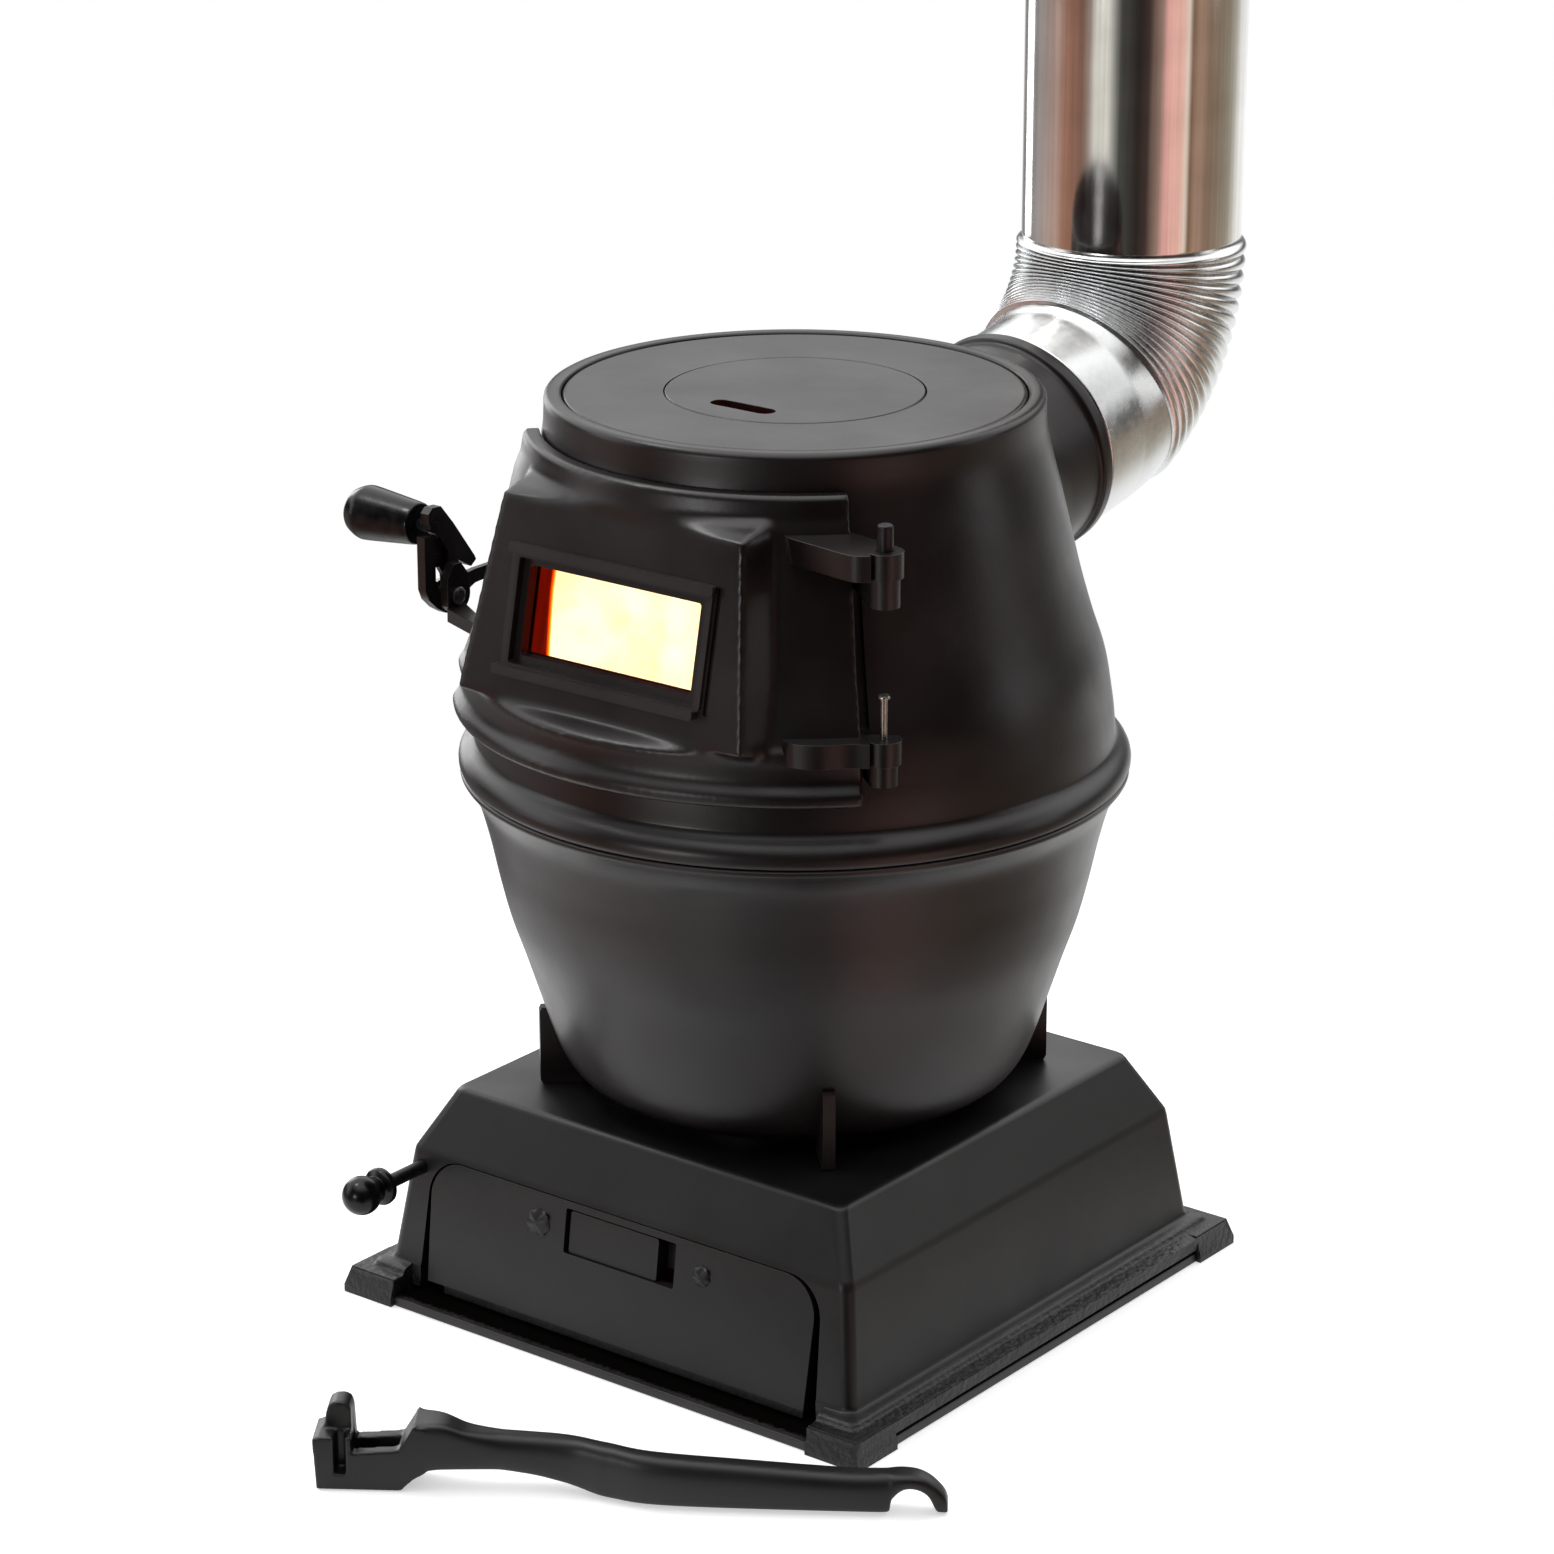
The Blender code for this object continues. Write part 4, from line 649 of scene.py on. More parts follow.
def carve(piece: Piece, *solids: Skin | Piece, how: Join = Join.CUT) -> None:
    """Cut solids from a piece, or weld them to it, and keep the result as its mesh.

    Args:
        piece: The piece.
        *solids: The solids, which are used up.
        how: Whether they are cut from it or welded to it.
    """
    helpers = [solid if isinstance(solid, Piece) else make("cutter", solid) for solid in solids]
    for helper in helpers:
        step = piece.modifiers.new("cut", "BOOLEAN")
        step.operation, step.solver, step.object = how.value, "MANIFOLD", helper
    settle(piece)
    for helper in helpers:
        bpy.data.meshes.remove(helper.data)


def bevel(piece: Piece, width: float, segments: int = 3, angle: float = 35.0) -> None:
    """Round a piece's edges.

    Args:
        piece: The piece.
        width: The rounding's width in metres.
        segments: Faces across it.
        angle: Edges sharper than this many degrees are rounded.
    """
    step = piece.modifiers.new("Bevel", "BEVEL")
    step.width = width
    step.segments = segments
    step.limit_method = "ANGLE"
    step.angle_limit = math.radians(angle)
    step.harden_normals = False
    settle(piece, 50.0)


def cast(piece: Piece, voxel: float, passes: int) -> None:
    """Melt a piece's joined solids into one skin with soft corners, as sand casting leaves them.

    Args:
        piece: The piece, whose solids may overlap.
        voxel: The size of the new faces in metres.
        passes: How often the corners are smoothed.
    """
    step = piece.modifiers.new("Remesh", "REMESH")
    step.mode = "VOXEL"
    step.voxel_size = voxel
    step.use_smooth_shade = True
    soft = piece.modifiers.new("Smooth", "SMOOTH")
    soft.factor = 0.5
    soft.iterations = passes
    settle(piece, 70.0)


def fit(piece: Piece, body: Body, slot: Slot | None, *nodes: str) -> Piece:
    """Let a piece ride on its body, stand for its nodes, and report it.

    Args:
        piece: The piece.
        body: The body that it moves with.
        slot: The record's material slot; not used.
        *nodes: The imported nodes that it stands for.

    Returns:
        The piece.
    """
    even = piece.modifiers.new("Even shading", "WEIGHTED_NORMAL")
    even.keep_sharp = True
    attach(piece, body.value)
    if nodes:
        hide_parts(*nodes)
    piece.data.calc_loop_triangles()
    log.info("%s on %s, %d triangles", piece.name, body.value, len(piece.data.loop_triangles))
    return piece


def dress(node: str, finish: Material) -> None:
    """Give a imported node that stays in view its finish.

    Args:
        node: The node.
        finish: The material.
    """
    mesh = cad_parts[node].data
    if mesh.materials:
        mesh.materials[0] = finish
    else:
        mesh.materials.append(finish)
    log.info("%s stays, in %s", node, finish.name)


@dataclass
class Finishes:
    """The materials that the sub-assemblies share, named for what they are put on or made of."""

    iron: Material
    base_iron: Material
    rough_iron: Material
    sooty_iron: Material
    zinc: Material
    pipe: Material
    dark_steel: Material
    bright_steel: Material
    pan: Material
    phenolic: Material
    glass: Material
    fire: Material

    @classmethod
    def make(cls) -> "Finishes":
        """Build every finish once.

        Returns:
            The finishes.
        """
        return cls(
            # the pot, the body, the top and the door: satin paint with a soft sheen
            iron=PaintedIron(
                "satin_painted_cast_iron", dark="0f0809", pale="160f10", edge="342e30", roughness=0.35
            ).build(),
            # the drawer, the shutter and the lifter: matt paint, neutral and a little darker
            base_iron=PaintedIron(
                "matt_painted_cast_iron", dark="070606", pale="0c0a0b", edge="242122", roughness=0.42
            ).build(),
            # the base casting: the same paint, over rough scale on the flange and feet
            rough_iron=PaintedIron(
                "scaled_cast_iron",
                dark="070606",
                pale="0c0a0b",
                edge="242122",
                roughness=0.42,
                crust_top=0.0185,
            ).build(),
            # the bottom plate: rubbed grey outside, flat black inside as painted shade under the stove
            sooty_iron=PaintedIron(
                "cast_iron_with_painted_shade",
                dark="0c0a0b",
                pale="2a2628",
                edge="4a4546",
                roughness=0.40,
                grain_mm=2.2,
                grain_depth_mm=0.12,
                wave_mm=12.0,
                wave_depth_mm=0.25,
                painted_shade_half=0.1535,
            ).build(),
            # the elbow: hot-dip zinc, pale, with soft cloudy spangle
            zinc=SheetSteel(
                "galvanised_sheet",
                dark="cfd1d2",
                pale="e4e5e5",
                roughness=0.24,
                streak_mm=4.0,
                stretch=(1, 1, 1),
                wave_mm=25.0,
                wave_depth_mm=0.12,
            ).build(),
            # the flue pipe: bright rolled, nearly a mirror, with fine lines up its length
            pipe=SheetSteel("bright_rolled_sheet", dark="c9c7c4", pale="ecebe8", roughness=0.09).build(),
            # pins, rod, stud and the pane's frame: blackened and dull
            dark_steel=SheetSteel(
                "blackened_steel", "2c2b2d", "454346", roughness=0.42, streak_mm=1.5, stretch=(1, 1, 0.2)
            ).build(),
            # screws and thin pins: turned, with a satin shine
            bright_steel=SheetSteel(
                "plain_turned_steel", "8d8b88", "c4c1bd", roughness=0.28, streak_mm=1.0, stretch=(1, 1, 0.3)
            ).build(),
            # the ash pan: grey mill scale
            pan=SheetSteel(
                "hot_rolled_sheet", "3a3a3c", "555457", roughness=0.45, streak_mm=2.0, stretch=(1, 0.1, 1)
            ).build(),
            # the grip and the ball knob: deep black, glossy where fingers polish it
            phenolic=Phenolic("black_phenolic_moulding", colour="060506", roughness=0.20).build(),
            # the pane: clear, a little warm
            glass=HeatGlass("glass_ceramic", tint="fbf4ea").build(),
            # behind the pane: brighter than anything else on the stove
            fire=WoodFire("wood_fire", strength=3.0).build(),
        )


# ---------- base, pot and body


@dataclass
class Base:
    """Bottom plate and hollow square base with its four flared feet."""

    plate_half: float = 0.1575
    plate_thick: float = 0.0047
    foot_inner: float = 0.1290
    foot_top: float = 0.1570
    foot_bottom: float = 0.1600
    foot_height: float = 0.0138
    neck_r: float = 0.0760

    def ring(self, half: float, corner: float, z: float) -> Array:
        """Work out a level rounded square.

        Args:
            half: Half its width.
            corner: The radius of its corners.
            z: Its height.

        Returns:
            Its points.
        """
        near = half - corner
        line: list[tuple[float, float]] = []
        for quarter, (sx, sy) in enumerate(CORNERS):
            line += arc(sx * near, sy * near, corner, 90 * quarter, 90 * quarter + 90, 6)
        return np.column_stack([np.array(line), np.full(len(line), z)])

    def shell(self) -> Skin:
        """Carry a rounded square up the outside of the casting and down its inside.

        Returns:
            The surface of flange, bead, wall, shoulder and hollow.
        """
        outer = (
            (0.1580, 0.0070, 0.004), (0.1580, 0.0129, 0.004), (0.1512, 0.0139, 0.005),
            (0.1502, 0.0146, 0.005), (0.1499, 0.0156, 0.005), (0.1494, 0.0164, 0.005),
            (0.1484, 0.0170, 0.005), (0.1464, 0.0175, 0.005), (0.1446, 0.0179, 0.006),
            (0.1436, 0.0188, 0.006), (0.1431, 0.0205, 0.006), (0.1357, 0.0738, 0.006),
            (0.1351, 0.0768, 0.006), (0.1340, 0.0790, 0.006), (0.1204, 0.1052, 0.006),
            (0.1196, 0.1064, 0.006), (0.1182, 0.1074, 0.006), (0.1160, 0.1076, 0.006),
        )
        inner = ((0.1160, 0.1026, 0.004), (0.1304, 0.0755, 0.004), (0.1383, 0.0070, 0.004))
        rows = [self.ring(half, corner, z) for half, z, corner in inner + outer]
        return Skin.grid(np.stack(rows))

    def foot(self, sx: int, sy: int) -> Skin:
        """Work out a corner foot that flares to the floor.

        Args:
            sx: 1 or -1, the side along x.
            sy: 1 or -1, the side along y.

        Returns:
            The foot.
        """
        near = self.foot_inner
        levels = ((self.foot_bottom, 0.0), (self.foot_bottom, 0.004), (self.foot_top, self.foot_height))
        rows = [[(sx * p, sy * q, z) for p, q in oblong(near, far, near, far)] for far, z in levels]
        return Skin.grid(np.array(rows))

    def build(self, finish: Finishes) -> None:
        """Build the plate and the base casting.

        Args:
            finish: The shared finishes.
        """
        inner = self.foot_inner - CLEAR
        outline = []
        for sx, sy in CORNERS:
            side, end = sx * self.plate_half, sy * self.plate_half
            notch = [(side, sy * inner), (sx * inner, sy * inner), (sx * inner, end)]
            outline += notch if sx * sy > 0 else notch[::-1]
        floor = make("bottom_plate", plate(outline, 0.0, self.plate_thick), finish.sooty_iron)
        bevel(floor, 0.0007, 2)
        fit(floor, Body.STOVE, Slot.IRON, "floor_plate")

        base = make("base", self.shell(), finish.rough_iron)
        opening = Drawer().arch(0.1212, 0.1240, -0.002, 0.0757, 0.0194)
        carve(base, plate(opening, -0.030, 0.030, on_front))
        gap = plate(oblong(-inner, inner, -0.170, -0.1438), -0.002, 0.0195)
        neck = turned([(self.neck_r, 0.09), (self.neck_r, 0.13)], 96)
        rod = turned([(0.0038, -0.025), (0.0038, 0.025)], 32)
        x, z = Shaker.x, Shaker.z
        carve(base, gap, neck, rod.moved(along((0, 1, 0), x, WALL_SLOPE * (z - WALL_Z) - WALL_Y, z)))
        for sx, sy in CORNERS:
            carve(base, self.foot(sx, sy), how=Join.WELD)
        bevel(base, 0.0009, 2, 50.0)
        fit(base, Body.STOVE, Slot.IRON, "base_casting")


def on_front(points: Array) -> Array:
    """Place (a, b, h) at width a and height b, set back by h from the base's sloping front wall."""
    wall = WALL_Y - WALL_SLOPE * (points[:, 1] - WALL_Z)
    return np.column_stack([points[:, 0], points[:, 2] - wall, points[:, 1]])


@dataclass
class Pot:
    """Round fire pot with its flared rim and four corner ribs."""

    wall: float = 0.005
    around: int = 224
    line: Profile = (
        (0.0880, 0.1120), (0.1010, 0.1140), (0.1088, 0.1180), (0.1150, 0.1262), (0.1200, 0.1380),
        (0.1265, 0.1580), (0.1329, 0.1780), (0.1396, 0.1980), (0.1446, 0.2180), (0.1489, 0.2380),
        (0.1538, 0.2560), (0.1580, 0.2640), (0.1616, 0.2688),
    )

    def build(self, finish: Finishes) -> None:
        """Turn the pot's smoothed outline and join its ribs.

        Args:
            finish: The shared finishes.
        """
        outer = smooth(self.line, 72)
        lip = [(0.1623, 0.2700), (0.1622, 0.2712), (0.1613, 0.2720), (0.1523, 0.2720), (0.1518, 0.2680)]
        inner = smooth([(r - self.wall, z) for r, z in self.line[2:-2]], 40)[::-1]
        seat = [(0.0812, 0.1157), (0.0812, 0.1137), (0.0740, 0.1137), (0.0740, 0.1079), (0.0880, 0.1079)]
        pot = make("pot", turned(np.vstack([outer, lip, inner, seat]), self.around, True), finish.iron)
        side = [(0.1255, 0.1081), (0.1265, 0.1100), (0.1265, 0.1460), (0.1255, 0.1480)]
        side += [(0.1215, 0.1480), (0.1180, 0.1380), (0.1130, 0.1280), (0.1070, 0.1180), (0.1000, 0.1081)]
        rib = plate(side, -0.003, 0.003, lambda p: p[:, [0, 2, 1]])
        ribs = [rib.moved(Matrix.Rotation(math.radians(turn), 4, "Z")) for turn in (45, 135, 225, 315)]
        carve(pot, *ribs, how=Join.WELD)
        fit(pot, Body.STOVE, Slot.IRON, "lower_pot")


@dataclass
class UpperBody:
    """Tapering body with the bead of its bottom edge, rim, doorway, flue collar, lugs and catch."""

    around: int = 256
    line: Profile = (
        (0.1552, 0.2885), (0.1545, 0.2980), (0.1532, 0.3080), (0.1496, 0.3280), (0.1430, 0.3480),
        (0.1372, 0.3680), (0.1323, 0.3880), (0.1275, 0.4080), (0.1223, 0.4280), (0.1198, 0.4400),
        (0.1192, 0.4500),
    )
    bead: Profile = (
        (0.1613, 0.2723), (0.1622, 0.2730), (0.1629, 0.2748), (0.1630, 0.2768), (0.1626, 0.2788),
        (0.1616, 0.2808), (0.1602, 0.2826), (0.1586, 0.2840), (0.1572, 0.2852), (0.1562, 0.2864),
        (0.1555, 0.2876),
    )
    spout: Profile = (
        (0.0660, -0.0720), (0.0640, -0.0640), (0.0605, -0.0560), (0.0578, -0.0480), (0.0564, -0.0400),
        (0.0560, -0.0320), (0.0560, -0.0095), (0.0563, -0.0082), (0.0572, -0.0074), (0.0582, -0.0068),
        (0.0585, -0.0060), (0.0585, -0.0012), (0.0582, -0.0004), (0.0575, 0.0),
    )
    rim: Profile = (
        (0.1192, 0.4530), (0.1189, 0.4544), (0.1180, 0.4556), (0.1168, 0.4563), (0.1152, 0.4565),
        (0.1128, 0.4565), (0.1118, 0.4563), (0.1111, 0.4557), (0.1107, 0.4546), (0.1107, 0.4475),
        (0.1030, 0.4475), (0.1030, 0.4425),
    )
    wall: float = 0.005

    def collar(self) -> Skin:
        """Carry a circle along the collar's axis, wider where it leaves the body and at its lip.

        Returns:
            The collar's outside, closed at both ends.
        """
        return turned(self.spout, 128).moved(in_collar())

    def lug(self, reach: float, low: float, high: float) -> Skin:
        """Work out a hinge lug with a round end on the hinge axis.

        Args:
            reach: How far it runs back into the body.
            low: The height of its underside.
            high: The height of its top.

        Returns:
            The lug.
        """
        heading = math.atan2(HINGE[1], HINGE[0])
        flat = [(-reach, -0.0063)] + arc(0, 0, 0.0071, -80, 80, 12) + [(-reach, 0.0063)]
        place = Matrix.Translation((*HINGE, 0)) @ Matrix.Rotation(heading, 4, "Z")
        return plate(flat, low, high).moved(place)

    def build(self, finish: Finishes) -> None:
        """Turn the body's outline, join what is cast on it and cut its openings.

        Args:
            finish: The shared finishes.
        """
        outer = smooth(self.line, 64)
        inner = smooth([(r - self.wall, z) for r, z in self.line[:-2]], 40)[::-1]
        foot = [(0.1502, 0.2800), (0.1523, 0.2723)]
        line = np.vstack([self.bead, outer, self.rim, inner, foot])
        body = make("body", turned(line, self.around, True), finish.iron)
        carve(body, self.collar(), how=Join.WELD)
        bore = turned([(0.0525, -0.084), (0.0525, 0.010)], 128).moved(in_collar())
        carve(body, bore, self.doorway())
        carve(body, self.gap())
        lugs = self.lug(0.0385, 0.3970, 0.4102), self.lug(0.0150, 0.3130, 0.3227)
        carve(body, *lugs, self.catch(), how=Join.WELD)
        fit(body, Body.STOVE, Slot.IRON, "upper_body")

    def doorway(self) -> Skin:
        """Work out the wedge between two headings and two heights that opens the doorway.

        Returns:
            The solid to cut away.
        """
        half = math.radians(DOORWAY_HALF)
        t = -math.pi / 2 + np.linspace(-half, half, 25)
        out = np.stack([np.cos(t), np.sin(t), np.zeros_like(t)], axis=1)
        bottom, top = DOORWAY_Z
        rows = [np.vstack([out * r + (0, 0, bottom), (out * r + (0, 0, top))[::-1]]) for r in (0.070, 0.200)]
        return Skin.grid(np.stack(rows))

    def gap(self) -> Skin:
        """Work out the groove beside the door on the hinge side, 3.2 mm deep all along the body's taper.

        Returns:
            The solid to cut away.
        """
        line = np.asarray(self.line)
        z = np.linspace(0.3345, 0.3960, 12)
        shallow = np.interp(z, line[:, 1], line[:, 0]) - 0.0032
        t = np.radians([48.6, 50.8])
        out = np.stack([np.sin(t), -np.cos(t)], axis=1)
        rows = [np.vstack([out * r, out[::-1] * 0.18]) for r in shallow]
        return Skin.grid(np.stack([np.column_stack([row, np.full(4, h)]) for row, h in zip(rows, z)]))

    def catch(self) -> Skin:
        """Work out the block behind which the latch hooks.

        Returns:
            The block.
        """
        y, z = -0.0445, 0.3394
        side = rounded([(y, z - 0.013), (y, z), (y + 0.008, z), (y + 0.008, z - 0.013)], 0.0012, 3)
        return plate(side, -0.1528, -0.1308, sideways)


@dataclass
class Hob:
    """Loose ring and centre lid on top."""

    top: float = 0.4558
    low: float = 0.4478

    def build(self, finish: Finishes) -> None:
        """Turn the ring and the lid, with the slot for the lifter.

        Args:
            finish: The shared finishes.
        """
        top, low, mid = self.top, self.low, self.low + 0.0036
        ring = [(0.0563, low), (0.1098, low), (0.1104, low + 0.0006), (0.1104, top - 0.0022)]
        ring += [(0.1100, top - 0.0010), (0.1092, top - 0.0003), (0.1080, top), (0.0633, top)]
        ring += [(0.0625, top - 0.0003), (0.0623, top - 0.0010), (0.0623, mid), (0.0563, mid)]
        made = make("hob_ring_casting", turned(ring, 192, True), finish.iron)
        fit(made, Body.HOB_RING, Slot.IRON, "hob_ring")
        lid = [(0.0557, low), (0.0557, mid + CLEAR), (0.0614, mid + CLEAR), (0.0620, mid + 0.0008)]
        lid += [(0.0620, top - 0.0010), (0.0618, top - 0.0003), (0.0611, top)]
        made = make("hob_lid_casting", turned(lid, 160), finish.iron)
        slot = arc(0.013, -0.040, 0.005, -90, 90, 12) + arc(-0.013, -0.040, 0.005, 90, 270, 12)
        carve(made, plate(slot, 0.43, 0.47))
        bevel(made, 0.0006, 2)
        fit(made, Body.HOB_LID, Slot.IRON, "hob_lid")


# ---------- flue


@dataclass
class Flue:
    """Corrugated elbow in the collar, and the straight pipe over its end."""

    stub_r: float = 0.0522
    smooth_r: float = 0.0560
    valley_r: float = 0.0570
    rib_r: float = 0.0594
    ribs: int = 16
    plain: float = 0.0340  # the straight part outside the collar
    first: float = math.radians(14.0)  # how far into the bend the ribs start
    reveal: float = 0.0005  # how far they run on above it
    pipe_y: float = 0.2850
    pipe_r: float = 0.0568
    pipe_top: float = 0.6400
    sheet: float = 0.0010
    around: int = 160

    def frames(self) -> tuple[Array, Array, Array]:
        """Work out the centres, directions and radii along the elbow.

        The centre line is straight in the collar, then a quarter bend less the tilt, then straight up. From a
        few degrees into the bend the radius swings between sharp valleys and round ribs, as a sine's size.

        Returns:
            Centres, headings and radii.
        """
        c, s = math.cos(COLLAR_TILT), math.sin(COLLAR_TILT)
        mouth = np.array([0.0, *COLLAR])
        ahead, up = np.array([0, c, s]), np.array([0, -s, c])
        straight = [(-0.028, self.stub_r), (0.0015, self.stub_r), (0.0030, self.smooth_r - 0.0006)]
        straight += [(0.0040, self.smooth_r), (0.0320, self.smooth_r)]
        start = mouth + ahead * self.plain
        sweep = math.pi / 2 - COLLAR_TILT
        bend = (self.pipe_y - start[1]) / (1 - s)
        pivot = start + up * bend
        bare = np.linspace(0, self.first, 6)
        length = bend * (sweep - self.first) + self.reveal
        run = np.linspace(0, 1, self.ribs * 12 + 1)
        swing = np.abs(np.sin(math.pi * self.ribs * run)) ** 0.8
        over = np.maximum(self.first + run * length / bend - sweep, 0)
        a = np.concatenate([bare, self.first + run * length / bend - over])[:, None]
        rise = np.concatenate([bare * 0, over * bend])[:, None]
        bent = pivot + ahead * bend * np.sin(a) - up * bend * np.cos(a) + rise * (0, 0, 1)
        turning = ahead * np.cos(a) + up * np.sin(a)
        inside = self.pipe_r - self.sheet - CLEAR
        end = bent[-1]
        spigot = end + [(0, 0, 0.002), (0, 0, 0.018)]
        centres = np.vstack([[mouth + ahead * d for d, _ in straight], bent, spigot])
        headings = np.vstack([[ahead] * len(straight), turning, [(0, 0, 1), (0, 0, 1)]])
        bare_r = self.smooth_r + np.linspace(0, self.valley_r - self.smooth_r, len(bare))
        ribbed = self.valley_r + (self.rib_r - self.valley_r) * swing
        radii = np.concatenate([[r for _, r in straight], bare_r, ribbed, [inside, inside]])
        return centres, headings, radii

    def tube(self, centres: Array, headings: Array, radii: Array) -> Array:
        """Put a circle square to each heading: centre + r (x cos t + rise sin t).

        Args:
            centres: The circles' centres.
            headings: The directions of the tube there.
            radii: The circles' radii.

        Returns:
            Circles by points by three.
        """
        side = np.array([1.0, 0, 0])
        rise = np.cross(side, headings)
        t = np.arange(self.around) * TURN / self.around
        ring = side * np.cos(t)[:, None] + rise[:, None, :] * np.sin(t)[:, None]
        return centres[:, None, :] + ring * radii[:, None, None]

    def build(self, finish: Finishes) -> None:
        """Build the elbow and the pipe.

        Args:
            finish: The shared finishes.
        """
        centres, headings, radii = self.frames()
        outside = self.tube(centres, headings, radii)
        inside = self.tube(centres, headings, radii - self.sheet)[::-1]
        elbow = make("flue_bend", Skin.grid(np.concatenate([outside, inside]), loop=True), finish.zinc, 60.0)
        fit(elbow, Body.STOVE, Slot.GALVANISED, "flue_elbow")

        bottom = float(centres[-2, 2]) + 0.0005
        r, inner = self.pipe_r, self.pipe_r - self.sheet
        line = [(inner, bottom), (r - 0.0002, bottom), (r, bottom + 0.0006), (r, bottom + 0.0060)]
        line += [(r, z) for z in np.linspace(bottom + 0.010, self.pipe_top - 0.002, 24)]
        line += [(r, self.pipe_top), (inner, self.pipe_top)]
        skin = turned(line, self.around, True).moved(Matrix.Translation((0, self.pipe_y, 0)))
        pipe = make("flue_tube", skin, finish.pipe, 60.0)
        fit(pipe, Body.STOVE, Slot.GALVANISED, "flue_pipe")


# ---------- door


@dataclass
class Door:
    """Fire door: a curved plate with mouldings, a leaning window box, hinge straps and the latch ear."""

    edge: float = math.radians(48.5)
    shell: float = 0.0060
    sections: Sequence[tuple[float, float, float]] = (
        (0.3020, 0.1618, 0.0), (0.3030, 0.1640, 0.0), (0.3050, 0.1652, 0.0), (0.3080, 0.1650, 0.0),
        (0.3105, 0.1634, 0.0), (0.3130, 0.1614, 0.0), (0.3165, 0.1606, 0.0), (0.3205, 0.1608, 0.0),
        (0.3240, 0.1618, 0.0), (0.3262, 0.1620, 0.18), (0.3280, 0.1612, 0.55), (0.3296, 0.1602, 0.88),
        (0.3312, 0.1590, 1.0), (0.3600, 0.1490, 1.0), (0.3900, 0.1415, 1.0), (0.4200, 0.1340, 1.0),
        (0.4228, 0.1332, 0.90), (0.4250, 0.1324, 0.60), (0.4270, 0.1316, 0.22), (0.4300, 0.1304, 0.0),
        (0.4350, 0.1295, 0.0), (0.4378, 0.1290, 0.0), (0.4395, 0.1272, 0.0),
    )
    body_line: Profile = UpperBody.line
    box_low: float = 0.3300
    box_rise: float = 0.0910
    box_side: float = 0.0040  # how far out the box's side slopes

    def box_half(self, z: Array) -> Array:
        """Return the half width of the window box at heights."""
        return 0.0840 - 0.0135 * (z - self.box_low) / self.box_rise

    def box_y(self, z: Array) -> Array:
        """Return the y of the leaning window face at heights."""
        return -0.1500 + 0.0190 * (z - self.box_low) / self.box_rise

    def front(self, rows: int = 150, cols: int = 70) -> Array:
        """Work out the front face of the door as a grid over height and side.

        Across, the flat box runs from the middle to its half width, drops back over a short rounded side to
        the curved plate, and the plate follows the body to the door's edge. Up, the sections say the plate's
        radius and how much of the box stands out. Both are smoothed before they are mixed.

        Args:
            rows: Points up the door.
            cols: Points from the middle to one edge.

        Returns:
            The grid of points, rows by columns by three.
        """
        line = smooth([(z, r, s * 0.02) for z, r, s in self.sections], rows)
        z, r, share = line[:, 0], line[:, 1], np.clip(line[:, 2] / 0.02, 0, 1)
        half, face = self.box_half(z), self.box_y(z)
        corner = np.arcsin(np.clip((half + self.box_side) / r, 0, 0.95))
        u = np.linspace(0, 1, cols)  # the box to 0.60, its side to 0.82, then the plate
        boxed = np.empty((rows, cols, 2))
        curved = np.empty((rows, cols, 2))
        inner = np.clip(u / 0.60, 0, 1)
        side = np.clip((u - 0.60) / 0.22, 0, 1)
        outer = np.clip((u - 0.82) / 0.18, 0, 1)
        angle = corner[:, None] * (0.92 * inner + 0.08 * side) + (self.edge - corner)[:, None] * outer
        curved[..., 0] = r[:, None] * np.sin(angle)
        curved[..., 1] = -r[:, None] * np.cos(angle)
        ease = side * side * (3 - 2 * side)
        depth = -(r * np.cos(corner))[:, None]
        boxed[..., 0] = half[:, None] * inner + self.box_side * side
        boxed[..., 1] = face[:, None] + (depth - face[:, None]) * ease
        beyond = outer[None, :] > 0
        boxed = np.where(beyond[..., None], curved, boxed)
        mixed = boxed * share[:, None, None] + curved * (1 - share)[:, None, None]
        points = np.concatenate([mixed, np.repeat(z[:, None, None], cols, axis=1)], axis=2)
        mirrored = points[:, :0:-1] * (-1, 1, 1)
        return np.concatenate([mirrored, points], axis=1)

    def skin(self) -> Skin:
        """Close the front face with a back face that follows the body just clear of it.

        Returns:
            The door's closed shell.
        """
        front = self.front()
        z = front[:, :, 2]
        reach = np.hypot(front[:, :, 0], front[:, :, 1])
        line = np.asarray(self.body_line)
        rest = np.interp(z, line[:, 1], line[:, 0]) + 0.0008
        # the back keeps the shell's thickness from the lowest of the front's points within 8 rows
        padded = np.pad(reach, ((8, 8), (0, 0)), mode="edge")
        thin = np.lib.stride_tricks.sliding_window_view(padded, 2 * 8 + 1, axis=0).min(axis=-1) - self.shell
        a = np.abs(np.arctan2(front[:, :, 0], -front[:, :, 1]))
